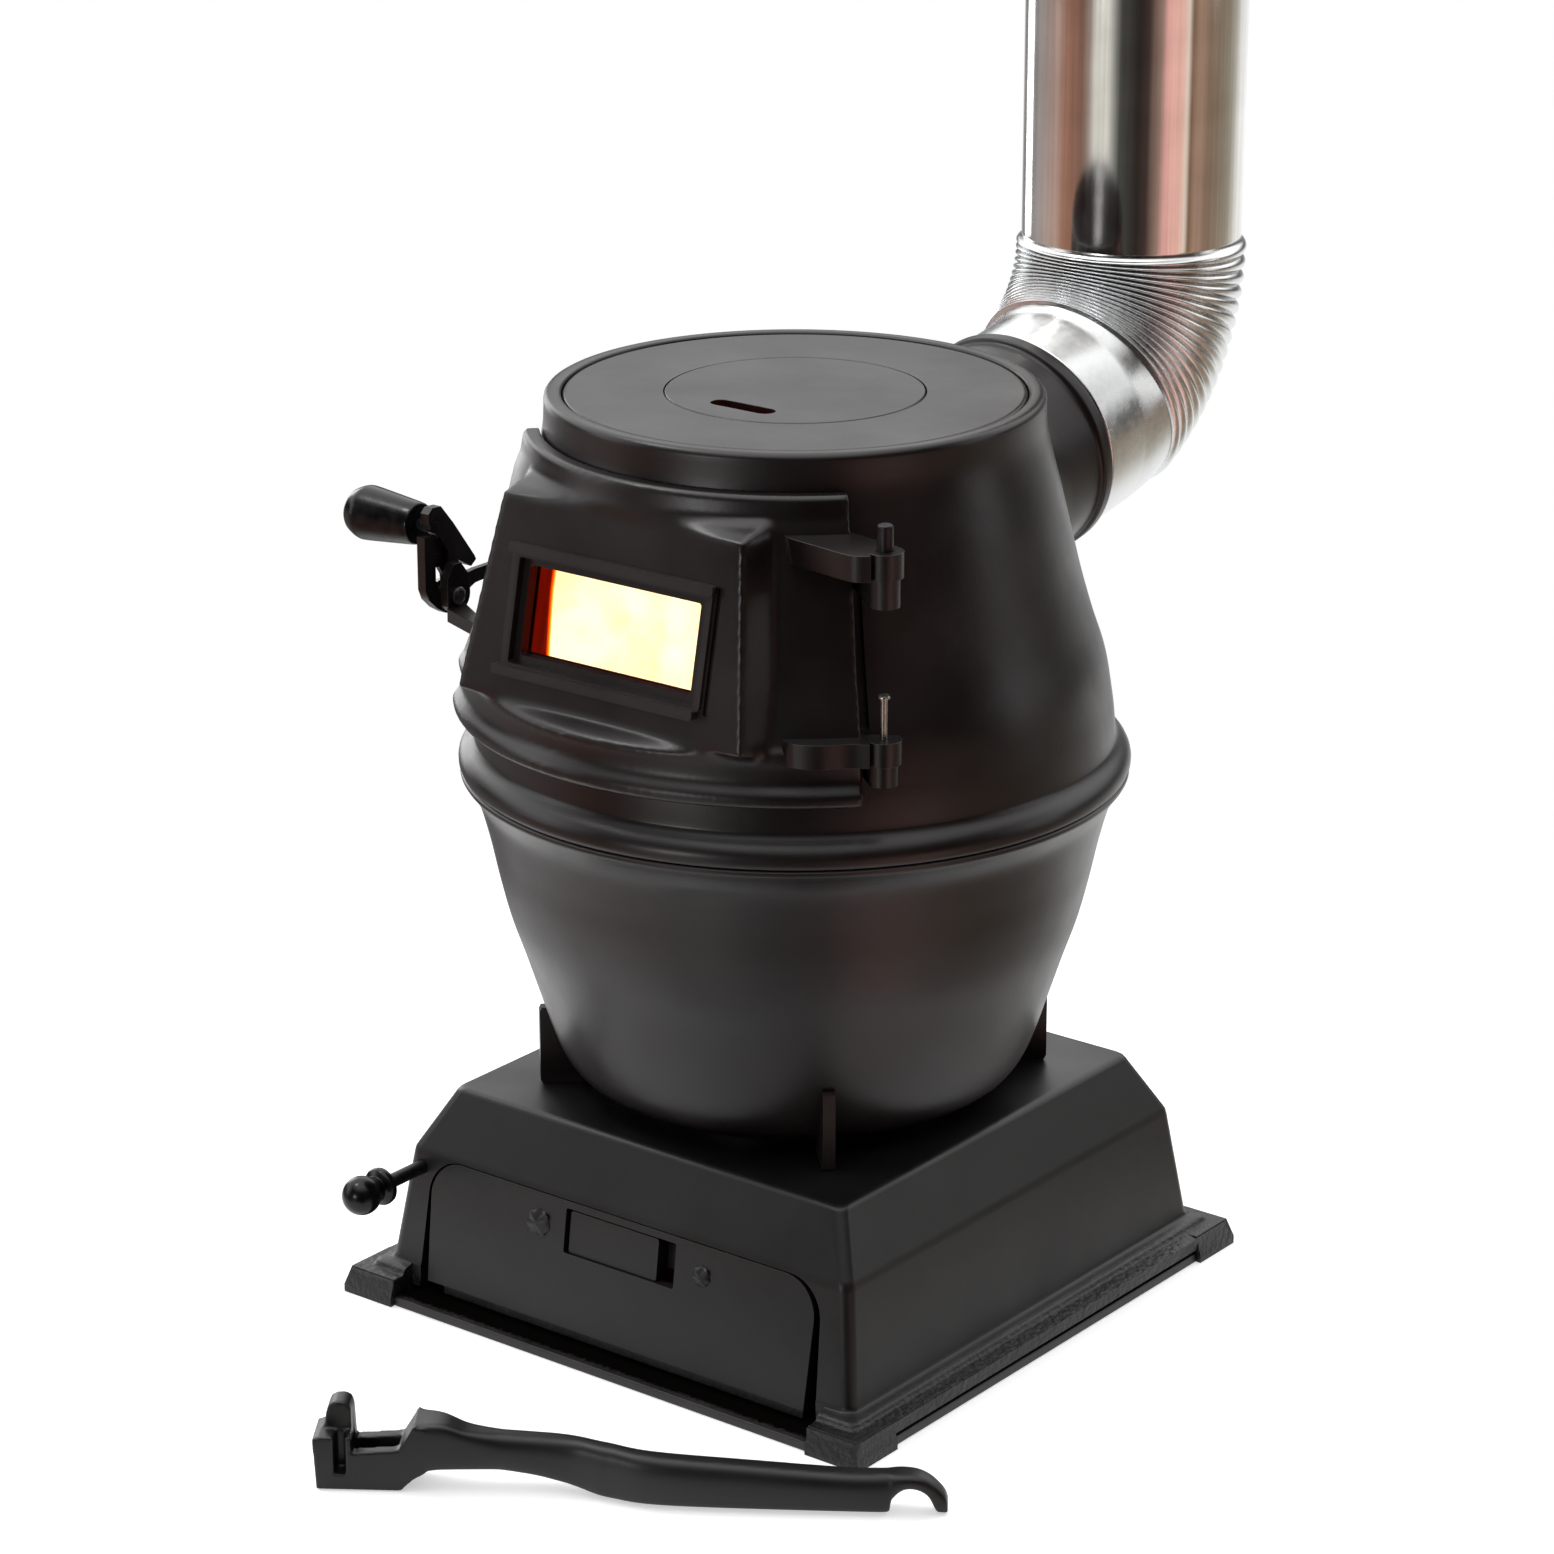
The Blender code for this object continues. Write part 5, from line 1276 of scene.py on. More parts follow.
        # it rests on the body in a strip along its edge: 12 mm at the sides, where its radius is about
        # 0.15 m, and 6 mm at the ends
        clear_of_sides = (self.edge - a) * 0.15 > 0.0119
        clear_of_ends = np.minimum(z - self.sections[0][0], self.sections[-1][0] - z) > 0.0059
        bottom, top = DOORWAY_Z
        doorway = (a < math.radians(DOORWAY_HALF - 0.4)) & (z > bottom + 0.0004) & (z < top - 0.0004)
        hollow = np.where(doorway, thin, np.maximum(thin, rest))
        back_r = np.where(clear_of_sides & clear_of_ends, hollow, rest)
        back = front * np.stack([back_r / reach, back_r / reach, np.ones_like(z)], axis=-1)
        return Skin.grid(np.concatenate([front, back[:, ::-1]], axis=1))

    def pane(self, points: Array) -> Array:
        """Place (a, b, h) at width a and height b, h in front of the leaning window face."""
        return np.column_stack([points[:, 0], self.box_y(points[:, 1]) - points[:, 2], points[:, 1]])

    def strap(self, low: float, high: float, eye: float) -> Skin:
        """Work out a bowed hinge strap from the door's plate to an eye on the hinge axis.

        Args:
            low: The height of its underside.
            high: The height of its top.
            eye: The radius of the eye.

        Returns:
            The strap.
        """
        hinge_r = math.hypot(*HINGE)
        heights, radii, _ = zip(*self.sections)
        front = float(np.interp(0.5 * (low + high), heights, radii))
        line = np.asarray(self.body_line)
        back = float(np.interp(low, line[:, 1], line[:, 0])) + 0.0028
        halfway = front + 0.0068 + 0.3 * (hinge_r - front)
        bow = [polar(35.5, front - 0.001), polar(37.0, front + 0.0042), polar(41.0, halfway)]
        bow += [polar(46.0, hinge_r + 0.0050), polar(49.0, hinge_r + 0.9 * eye)]
        outline = [*map(tuple, smooth(bow, 18)), *arc(*HINGE, eye, -105, 75, 16)]
        outline += [polar(48.6, back), polar(44.5, back), polar(35.5, front - 0.004)]
        return plate(outline, low, high)

    def ear(self) -> list[Skin]:
        """Work out the latch ear and the bridge that carries it.

        Returns:
            The ear and the bridge.
        """
        y, z = LATCH
        side = arc(y + 0.0005, z, 0.0088, -150, 10, 12) + [(y + 0.0085, z + 0.0090)]
        side += [(y + 0.0030, z + 0.0160), (y - 0.0025, z + 0.0162), (y - 0.0070, z + 0.0095)]
        bridge = [(-0.1425, y - 0.0070), (-0.1230, -0.0985), (-0.1120, -0.1030), (-0.1110, -0.0975)]
        bridge += [(-0.1425, y + 0.0060)]
        return [plate(side, -0.1465, -0.1415, sideways), plate(bridge, z - 0.0120, z - 0.0052)]

    def casting(self, finish: Finishes) -> None:
        """Melt the plate into a casting, join its trim and straps, and cut its holes.

        Args:
            finish: The shared finishes.
        """
        door = make("fire_door", self.skin(), finish.iron)
        cast(door, 0.0013, 6)
        bezel = oblong(-0.0590, 0.0590, 0.3450, 0.4010, 0.003, 4)
        sill = oblong(-0.0620, 0.0575, 0.3418, 0.3462, 0.0015, 4)
        brow = oblong(-0.0605, 0.0600, 0.3978, 0.4022, 0.0015, 4)
        trim = make("trim", plate(bezel, -0.003, 0.0016, self.pane))
        ledges = plate(sill, -0.003, 0.0046, self.pane), plate(brow, -0.003, 0.0036, self.pane)
        carve(trim, *ledges, how=Join.WELD)
        bevel(trim, 0.0008, 3)
        straps = make("straps", self.strap(0.4105, 0.4228, 0.0086) + self.strap(0.3230, 0.3345, 0.0086))
        carve(straps, *self.ear(), how=Join.WELD)
        bevel(straps, 0.0009, 3)
        carve(door, trim, straps, how=Join.WELD)
        place = Matrix.Translation((*HINGE, 0))
        eyes = [
            turned([(r + CLEAR, z - 0.02), (r + CLEAR, z + 0.02)], 48).moved(place)
            for r, z in ((0.0038, 0.4166), (0.0017, 0.3288))
        ]
        recess = oblong(-0.0545, 0.0545, 0.3472, 0.3958, 0.0015, 4)
        groove = oblong(0.0604, 0.0628, 0.3440, 0.4015, 0.0006, 3)
        hole = oblong(-0.0505, 0.0505, 0.3505, 0.3920, 0.0015, 4)
        carve(door, plate(recess, -0.0022, 0.010, self.pane), plate(groove, -0.0016, 0.010, self.pane), *eyes)
        carve(door, plate(hole, -0.030, 0.010, self.pane))
        fit(door, Body.DOOR, Slot.IRON, "door")

    def glazing(self, finish: Finishes) -> None:
        """Place the pane, the frame that holds it and the frame's screws.

        Args:
            finish: The shared finishes.
        """
        front = -self.shell - CLEAR
        sheet = oblong(-0.0555, 0.0555, 0.3455, 0.3970, 0.001, 3)
        pane = make("pane", plate(sheet, front - 0.0040, front, self.pane), finish.glass)
        fit(pane, Body.DOOR, Slot.GLASS, "window_glass")
        outside = oblong(-0.0590, 0.0590, 0.3420, 0.4005, 0.001, 3)
        face = front - 0.0043
        holder = make("pane_frame", plate(outside, face - 0.0012, face, self.pane), finish.dark_steel)
        inside = [(-0.0515, 0.3495), (0.0478, 0.3495), (0.0478, 0.3790), (0.0515, 0.3805), (0.0515, 0.3930)]
        inside += [(-0.0515, 0.3930)]
        carve(holder, plate(inside, -0.030, 0.0, self.pane))
        bevel(holder, 0.0003, 2)
        fit(holder, Body.DOOR, Slot.DARK_STEEL, "glass_retainer")
        for index in range(1, 5):
            dress(f"retainer_screw_{index}", finish.bright_steel)

    def build(self, finish: Finishes) -> None:
        """Build the casting and its window.

        Args:
            finish: The shared finishes.
        """
        self.casting(finish)
        self.glazing(finish)


@dataclass
class HingePins:
    """Thick upper pin and thin headed lower pin, each a profile of (radius, height)."""

    upper: Profile = (
        (0.0030, 0.3975), (0.0038, 0.3983), (0.0038, 0.4338), (0.0034, 0.4346), (0.0026, 0.4350),
    )
    lower: Profile = (
        (0.0017, 0.3135), (0.0017, 0.3534), (0.0027, 0.3535), (0.0029, 0.3538), (0.0029, 0.3546),
        (0.0026, 0.3550),
    )

    def build(self, finish: Finishes) -> None:
        """Turn both pins.

        Args:
            finish: The shared finishes.
        """
        place = Matrix.Translation((*HINGE, 0))
        made = make("upper_hinge_pin", turned(self.upper, 48).moved(place), finish.dark_steel)
        fit(made, Body.STOVE, Slot.DARK_STEEL, "hinge_pin_upper")
        made = make("lower_hinge_pin", turned(self.lower, 40).moved(place), finish.bright_steel)
        fit(made, Body.STOVE, Slot.DARK_STEEL, "hinge_pin_lower")


@dataclass
class Latch:
    """Crank lever with its prong and hook, pivot pin, stud and tapered grip."""

    lever_x: float = -0.1493
    thick: float = 0.0050
    grip: tuple[float, float] = (-0.0940, 0.3835)
    root_x: float = -0.1560
    end_x: float = -0.1970

    flat: Profile = (
        (-0.1012, 0.3530), (-0.1012, 0.3795), (-0.0952, 0.3795), (-0.0952, 0.3700), (-0.0925, 0.3700),
        (-0.0925, 0.3790), (-0.0975, 0.3850), (-0.0980, 0.3905), (-0.0950, 0.3932), (-0.0888, 0.3928),
        (-0.0800, 0.3825), (-0.0652, 0.3628), (-0.0640, 0.3606), (-0.0678, 0.3578), (-0.0772, 0.3632),
        (-0.0742, 0.3585), (-0.0733, 0.3540), (-0.0737, 0.3460), (-0.0765, 0.3405), (-0.0815, 0.3380),
        (-0.0870, 0.3386), (-0.0935, 0.3425), (-0.0990, 0.3478),
    )
    notch: Profile = (
        (-0.0930, 0.3625), (-0.0925, 0.3530), (-0.0897, 0.3488), (-0.0850, 0.3524), (-0.0856, 0.3575),
        (-0.0885, 0.3618),
    )
    hollow: Profile = (
        (-0.0936, 0.3770), (-0.0936, 0.3560), (-0.0884, 0.3546), (-0.0848, 0.3600), (-0.0843, 0.3690),
        (-0.0895, 0.3775),
    )

    def lever(self, finish: Finishes) -> None:
        """Cut the flat crank with its prong, join its hook and sink its hollows.

        Args:
            finish: The shared finishes.
        """
        (y, z), t, x = LATCH, self.thick / 2, self.lever_x
        lever = make("latch_crank", plate(self.flat, x - t, x + t, sideways), finish.iron)
        end = y + 0.0475
        hook = [(y + 0.0040, z - 0.0060), (y + 0.0200, z + 0.0005), (end + 0.0008, z + 0.0022)]
        hook += [(end + 0.0022, z - 0.0010), (end + 0.0080, z - 0.0004), (end + 0.0078, z + 0.0075)]
        hook += [(y + 0.0200, z + 0.0075), (y + 0.0040, z + 0.0060)]
        carve(lever, plate(hook, x - t + 0.001, x + t - 0.001, sideways), how=Join.WELD)
        bore = turned([(0.0033, -0.02), (0.0033, 0.02)], 40)
        holes = [bore.moved(along((1, 0, 0), x, *at)) for at in (LATCH, self.grip)]
        window = plate(self.notch, x - 0.01, x + 0.01, sideways)
        carve(lever, plate(self.hollow, x, x + 0.01, sideways), window, *holes)
        bevel(lever, 0.0006, 2)
        fit(lever, Body.LATCH, Slot.IRON, "latch_lever")

    def pivot(self, finish: Finishes) -> None:
        """Turn the headed pin that the lever swings on, riveted over behind the door's ear.

        Args:
            finish: The shared finishes.
        """
        x = self.lever_x - self.thick / 2 - CLEAR
        ear = -0.1412
        pin = [(0.0030, x - 0.0040), (0.0050, x - 0.0035), (0.0060, x - 0.0024), (0.0062, x - 0.0012)]
        pin += [(0.0062, x), (0.0030, x), (0.0030, ear), (0.0044, ear)]
        pin += [(0.0044, ear + 0.0008), (0.0038, ear + 0.0014), (0.0024, ear + 0.0018)]
        made = make("latch_pivot", turned(pin, 56).moved(along((1, 0, 0), 0, *LATCH)), finish.bright_steel)
        fit(made, Body.DOOR, Slot.BRIGHT_STEEL, "latch_pin")

    def handle(self, finish: Finishes) -> None:
        """Turn the stud and the tapered grip on it.

        Args:
            finish: The shared finishes.
        """
        axis = along((1, 0, 0), 0, *self.grip)
        inside = self.lever_x + self.thick / 2 + CLEAR
        stud = [(0.0030, self.end_x + 0.010), (0.0030, inside), (0.0024, inside + 0.0004)]
        made = make("latch_rivet", turned(stud, 48).moved(axis), finish.dark_steel)
        fit(made, Body.LATCH, Slot.BRIGHT_STEEL, "latch_stud")

        e, r = self.end_x, self.root_x
        cone = [(0.0134, e + 0.0070), (0.0134, e + 0.0105), (0.0125, e + 0.0200), (0.0108, r - 0.0040)]
        hull = smooth([(0.0110, e + 0.0012), (0.0120, e + 0.0032), *cone], 36)
        head = [(0.0030, e), (0.0096, e + 0.0001), (0.0103, e + 0.0004)]
        root = [(0.0104, r - 0.0012), (0.0100, r - 0.0004), (0.0092, r)]
        skin = turned(np.vstack([head, hull, root]), 96).moved(axis)
        fit(make("latch_handle", skin, finish.phenolic, 50.0), Body.LATCH, Slot.PHENOLIC, "latch_grip")

    def build(self, finish: Finishes) -> None:
        """Build the lever, the pin, the stud and the grip.

        Args:
            finish: The shared finishes.
        """
        self.lever(finish)
        self.pivot(finish)
        self.handle(finish)


# ---------- drawer and shaker


@dataclass
class Drawer:
    """Ash drawer front with the air shutter and its rivets; the pan behind stays as packed."""

    thick: float = 0.0055

    def arch(self, top: float, bottom: float, low: float, high: float, corner: float) -> Profile:
        """Work out a tapered outline whose two top corners are round.

        Args:
            top: Half its width at the top.
            bottom: Half its width at the bottom.
            low: The height of its bottom.
            high: The height of its top.
            corner: The radius of the top corners.

        Returns:
            The outline.
        """
        side = math.degrees(math.atan2(bottom - top, high - low))
        right = arc(top - corner, high - corner, corner, side, 90, 14)
        left = [(-x, z) for x, z in reversed(right)]
        return [(-bottom, low), (bottom, low)] + right + left

    def hammered(self, head: Profile) -> Skin:
        """Turn a rivet whose head is dented: its radius swings by 7 per cent in seven lobes round it.

        Its height swings in four lobes, by 0.35 mm at a radius of 6 mm and less nearer the middle.

        Args:
            head: The rivet's profile, whose head is below 0.

        Returns:
            The rivet.
        """
        skin = turned(head, 56)
        t = np.arctan2(skin.points[:, 1], skin.points[:, 0])
        seen = skin.points[:, 2] < -0.0003
        reach = np.hypot(skin.points[:, 0], skin.points[:, 1]) / 0.006
        skin.points[:, :2] *= np.where(seen, 1 + 0.07 * np.sin(7 * t), 1)[:, None]
        skin.points[:, 2] += np.where(seen, 0.00035 * np.sin(4 * t + 1) * reach, 0)
        return skin

    def build(self, finish: Finishes) -> None:
        """Build the front plate, the shutter and the rivets.

        Args:
            finish: The shared finishes.
        """
        outline = [(x - 0.0011, z) for x, z in self.arch(0.1187, 0.1172, 0.0118, 0.0751, 0.0185)]
        front = make("drawer_plate", plate(outline, 0.0, self.thick, on_front), finish.base_iron)
        window = oblong(-0.034, 0.034, 0.049, 0.0715, 0.0010, 3)
        carve(front, plate(window, -0.010, 0.020, on_front))
        bevel(front, 0.0008, 3)
        fit(front, Body.DRAWER, Slot.IRON, "drawer_front")

        slab = oblong(-0.044, 0.0225, 0.045, 0.0730, 0.0008, 3)
        face = oblong(-0.032, 0.0225, 0.0493, 0.0703, 0.0016, 4)
        shutter = make("air_slide", plate(slab, 0.0058, 0.0088, on_front), finish.base_iron)
        carve(shutter, plate(face, 0.0014, 0.0068, on_front), how=Join.WELD)
        bevel(shutter, 0.0005, 2)
        fit(shutter, Body.SHUTTER, Slot.IRON, "air_shutter")

        for index, (x, r) in enumerate(((-0.0505, 0.0068), (0.0505, 0.0050))):
            place = along((0, 1, -WALL_SLOPE), *on_front(np.array([[x, 0.060, 0.0]]))[0])
            head = [(0.0006, -0.0022), (0.35 * r, -0.0021), (0.6 * r, -0.0016), (0.8 * r, -0.0013)]
            head += [(r, -0.0006), (r, 0.0), (0.0020, 0.0), (0.0020, 0.0076)]
            head += [(0.0030, 0.0077), (0.0028, 0.0088)]
            made = make(f"drawer_stud_{index + 1}", self.hammered(head).moved(place), finish.base_iron)
            fit(made, Body.DRAWER, Slot.DARK_STEEL, f"drawer_rivet_{index + 1}")
        dress("shutter_guide", finish.dark_steel)
        dress("ash_pan", finish.pan)


@dataclass
class Shaker:
    """Shaker rod with its ball knob, and the grate that it turns."""

    x: float = -0.1275
    z: float = 0.0680

    def build(self, finish: Finishes) -> None:
        """Turn the knob; the rod and the grate stay as packed.

        Args:
            finish: The shared finishes.
        """
        place = along((0, 1, 0), self.x, 0, self.z)
        stop, ball, collar = -0.1800, 0.0097, -0.1660
        t = np.radians(np.linspace(-86, 42, 30))
        line = [(float(ball * math.cos(a)), float(ball * math.sin(a) + stop)) for a in t]
        line += [(0.0062, collar - 0.0045), (0.0068, collar - 0.0036), (0.0086, collar - 0.0028)]
        line += [(0.0094, collar - 0.0014), (0.0095, collar), (0.0092, collar + 0.0014)]
        line += [(0.0080, collar + 0.0026)]
        line += [(0.0060, collar + 0.0034), (0.0038, collar + 0.0035)]
        knob = make("shaker_ball", turned(line, 72).moved(place), finish.phenolic, 60.0)
        fit(knob, Body.SHAKER, Slot.PHENOLIC, "shaker_knob")
        dress("shaker_rod", finish.dark_steel)
        dress("grate", finish.iron)


# ---------- lifter


@dataclass
class Lifter:
    """Loose cast lifter on the floor: jaw with an upright tab, arched shank and hooked end.

    Its lines run along its length: front and back as seen from above, and top, bottom and jaw as seen from
    the side.
    """

    x: float = -0.0274
    y: float = -0.3252
    heading: float = math.radians(34.7)
    front: Profile = (
        (0.060, 0.0), (0.113, 0.0), (0.134, -0.0055), (0.164, -0.0125), (0.256, -0.0134), (0.291, -0.0100),
    )
    back: Profile = (
        (0.0, 0.0220), (0.044, 0.0220), (0.070, 0.0150), (0.113, 0.0145), (0.134, 0.0095), (0.164, 0.0030),
        (0.256, 0.0020), (0.291, 0.0),
    )
    top: Profile = (
        (0.0470, 0.0330), (0.0600, 0.0335), (0.0720, 0.0300), (0.0900, 0.0282), (0.1300, 0.0262),
        (0.1900, 0.0232), (0.2450, 0.0200), (0.2700, 0.0205), (0.2810, 0.0180), (0.2885, 0.0110),
        (0.2910, 0.0030),
    )
    bottom: Profile = (
        (0.0460, 0.0060), (0.0550, 0.0100), (0.0800, 0.0105), (0.1000, 0.0080), (0.1130, 0.0050),
        (0.1340, 0.0004), (0.1640, 0.0), (0.2560, 0.0), (0.2620, 0.0040), (0.2690, 0.0115),
        (0.2750, 0.0125), (0.2810, 0.0090), (0.2845, 0.0020), (0.2860, 0.0), (0.2900, 0.0),
    )
    jaw: Profile = (
        (0.0015, 0.0002), (0.0400, 0.0002), (0.0460, 0.0060), (0.0520, 0.0095), (0.0520, 0.0318),
        (0.0470, 0.0330), (0.0400, 0.0210), (0.0180, 0.0190), (0.0172, 0.0350), (0.0160, 0.0385),
        (0.0130, 0.0400), (0.0095, 0.0398), (0.0068, 0.0380), (0.0055, 0.0345), (0.0045, 0.0270),
        (0.0000, 0.0255),
    )

    def spot(self, points: Array) -> Array:
        """Place (length, height, distance behind the front line) on the floor.

        Args:
            points: The points in the lifter's own measures.

        Returns:
            World points.
        """
        c, n = math.cos(self.heading), math.sin(self.heading)
        s, z, t = points.T
        return np.column_stack([self.x + s * c - t * n, self.y + s * n + t * c, z])

    def between(self, s: Array, share: Array) -> Array:
        """Work out distances behind the origin's line.

        Args:
            s: Places along the lifter.
            share: 0 on the front face and 1 on the back face.

        Returns:
            The distances.
        """
        front, back = smooth(self.front, 200), smooth(self.back, 200)
        near = np.interp(s, front[:, 0], front[:, 1])
        return near + (np.interp(s, back[:, 0], back[:, 1]) - near) * share

    def side(self, points: Array) -> Array:
        """Place (length, height, side), where side runs from the front face at 0 to the back face at 1."""
        s, z, share = points.T
        return self.spot(np.column_stack([s, z, self.between(s, share)]))

    def shank(self) -> Skin:
        """Carry a rounded rectangle along the shank to the hooked end.

        Each section is a superellipse, |a|^n + |b|^n = 1, between the front and back lines and between the
        lower and upper lines; n falls from 7 at the jaw to 2.7 on the shank.

        Returns:
            The shank's surface.
        """
        s = np.concatenate([np.linspace(0.046, 0.255, 90), np.linspace(0.257, 0.2902, 40)])
        upper, lower = smooth(self.top, 300), smooth(self.bottom, 300)
        high, low = np.interp(s, upper[:, 0], upper[:, 1]), np.interp(s, lower[:, 0], lower[:, 1])
        low = np.maximum(low, CLEAR)
        n = (2.7 + 4.3 * np.clip((0.085 - s) / 0.03, 0, 1))[:, None]
        t = np.arange(40) * TURN / 40
        a = np.sign(np.cos(t)) * np.abs(np.cos(t)) ** (2 / n)
        b = np.sign(np.sin(t)) * np.abs(np.sin(t)) ** (2 / n)
        z = (0.5 * (high + low))[:, None] + b * (0.5 * (high - low))[:, None]
        points = np.stack([np.repeat(s[:, None], 40, axis=1), z, 0.5 + 0.5 * a], axis=-1)
        return Skin.grid(self.side(points.reshape(-1, 3)).reshape(points.shape))

    def build(self, finish: Finishes) -> None:
        """Join the jaw to the shank, cut the jaw and soften everything as a casting.

        Args:
            finish: The shared finishes.
        """
        made = make("lifter_casting", plate(self.jaw, 0.0, 1.0, self.side), finish.base_iron)
        carve(made, self.shank(), how=Join.WELD)
        tab = oblong(-0.004, 0.030, 0.0265, 0.060)
        socket = oblong(0.0170, 0.0390, 0.0090, 0.060)
        slit = oblong(0.0098, 0.0152, 0.0080, 0.0300)
        carve(made, plate(tab, -0.010, 0.0100, self.spot), plate(socket, 0.0060, 0.0160, self.spot))
        carve(made, plate(slit, -0.0010, 0.0090, self.spot))
        cast(made, 0.0008, 4)
        fit(made, Body.LIFTER, Slot.IRON, "lifter")


@dataclass
class Fire:
    """The burning wood seen through the pane: a body of flame a little inside the firebox wall."""

    line: Profile = (
        (0.0200, 0.1225), (0.0900, 0.1300), (0.1080, 0.1700), (0.1240, 0.2200), (0.1290, 0.2700),
        (0.1290, 0.3200), (0.1275, 0.3500), (0.1220, 0.3850), (0.1100, 0.4050), (0.0800, 0.4180),
        (0.0200, 0.4230),
    )

    def build(self, finish: Finishes) -> None:
        """Turn the smoothed outline of the fire's outside.

        Args:
            finish: The shared finishes.
        """
        made = make("fire", turned(smooth(self.line, 60), 120), finish.fire, 80.0)
        fit(made, Body.STOVE, None)


# ---------- studio


@dataclass(frozen=True)
class Lamp:
    """Rectangular soft lamp: its place, what it is aimed at, its width and height, and its power in watts."""

    name: str
    at: tuple[float, float, float]
    aim: tuple[float, float, float]
    size: tuple[float, float]
    power: float


@dataclass
class Studio:
    """Pale floor, soft lamps, white surround and the photograph's camera.

    The walls are the room that the metal and the paint reflect: headings in degrees clockwise from the side
    of the camera, which stands at its own heading from the front, with their colours. The key lamp stands at
    the left, the top lamp overhead, and the rim and side lamps behind on either side. Two small ones put a
    glint on the door's upper moulding and lift its front.
    """

    walls: Stops = (
        (-165, "8a8a8a"), (-140, "7c7b7b"), (-122, "a39c9b"), (-91, "b5988c"), (-80, "a0725f"),
        (-60, "8a695c"), (-52, "a3928a"), (-46, "e4e2da"), (-32, "e4e2da"), (-24, "8c8c88"), (-19, "4c4c48"),
        (0, "302a27"), (10, "453734"), (23, "a08478"), (29, "f0b4ac"), (46, "f4c0b2"), (52, "f4e2d4"),
        (56, "80644f"), (64, "ac8d7a"), (80, "88705f"), (110, "988f80"), (122, "c0bcb2"), (134, "f4f4f2"),
        (175, "fbfbfb"),
    )
    lamps: Sequence[Lamp] = (
        Lamp("key", (-1.9, -1.4, 0.9), (0, 0, 0.25), (0.9, 1.4), 6),
        Lamp("top", (-0.2, -0.3, 2.4), (0, 0, 0.3), (2.0, 2.0), 12),
        Lamp("spark", (-0.735, -0.49, 1.68), (0, -0.15, 0.42), (0.3, 0.3), 4),
        Lamp("front", (-0.05, -2.2, 0.52), (0, 0, 0.45), (0.32, 0.36), 6),
        Lamp("rim", (-1.85, 0.75, 0.5), (0, 0, 0.25), (0.6, 1.0), 7),
        Lamp("side", (2.2, 1.6, 0.9), (0, 0, 0.3), (0.6, 1.4), 4),
    )
    facing: float = 37.5
    camera_at: tuple[float, float, float] = (1.3380, -1.7429, 1.0255)
    camera_turn: float = 0.658638
    camera_pitch: float = math.radians(19.172)
    lens_mm: float = 110.71

    def places(self) -> Stops:
        """Turn headings seen from the camera into places of a ramp over the compass."""
        return sorted((((heading + self.facing + 180) % 360) / 360, code) for heading, code in self.walls)

    def hang(self, name: str, data: bpy.types.ID, at: Sequence[float], ahead: Vector) -> Piece:
        """Place a lamp or a camera.

        Args:
            name: Its name.
            data: The lamp or the lens.
            at: Where it stands.
            ahead: Which way it looks.

        Returns:
            The object.
        """
        made = bpy.data.objects.new(name, data)
        made.location = at
        made.rotation_mode = "QUATERNION"
        made.rotation_quaternion = ahead.to_track_quat("-Z", "Y")
        bpy.context.scene.collection.objects.link(made)
        return made

    def camera(self) -> None:
        """Place the camera at the photograph's viewing angle."""
        turn, pitch = self.camera_turn, self.camera_pitch
        ahead = (-math.sin(turn) * math.cos(pitch), math.cos(turn) * math.cos(pitch), -math.sin(pitch))
        lens = bpy.data.cameras.new("camera")
        lens.lens, lens.sensor_width = self.lens_mm, 36.0
        bpy.context.scene.camera = self.hang("camera", lens, self.camera_at, Vector(ahead))

    def light(self) -> None:
        """Hang the rectangular soft lamps."""
        for lamp in self.lamps:
            light = bpy.data.lights.new(lamp.name, "AREA")
            light.shape = "RECTANGLE"
            light.size, light.size_y = lamp.size
            light.energy = lamp.power
            self.hang(lamp.name, light, lamp.at, Vector(lamp.aim) - Vector(lamp.at))

    def surround(self) -> None:
        """Light the scene softly from all round; the camera and the glass see white."""
        world = bpy.data.worlds.new("studio")
        bpy.context.scene.world = world
        world.use_nodes = True
        tree = world.node_tree
        tree.nodes.clear()
        soft = {"interpolation_type": "SMOOTHSTEP"}
        way = add(tree, "TexCoord").outputs["Generated"]
        split = add(tree, "SeparateXYZ", [way])
        up = split.outputs[2]
        back = add(tree, "Math", [split.outputs[1], -1.0], operation="MULTIPLY")
        heading = add(tree, "Math", [split, back], operation="ARCTAN2")
        turn = add(tree, "MapRange", [heading, -math.pi, math.pi])
        walls = add(tree, "ValToRGB", [turn], self.places())
        # the walls are bright towards the floor and dim above it, under a bright ceiling
        low = add(tree, "MapRange", [up, -0.22, 0.04, 1.15, 0.08], **soft)
        ceiling = add(tree, "MapRange", [up, 0.62, 0.86, 0.0, 1.3], **soft)
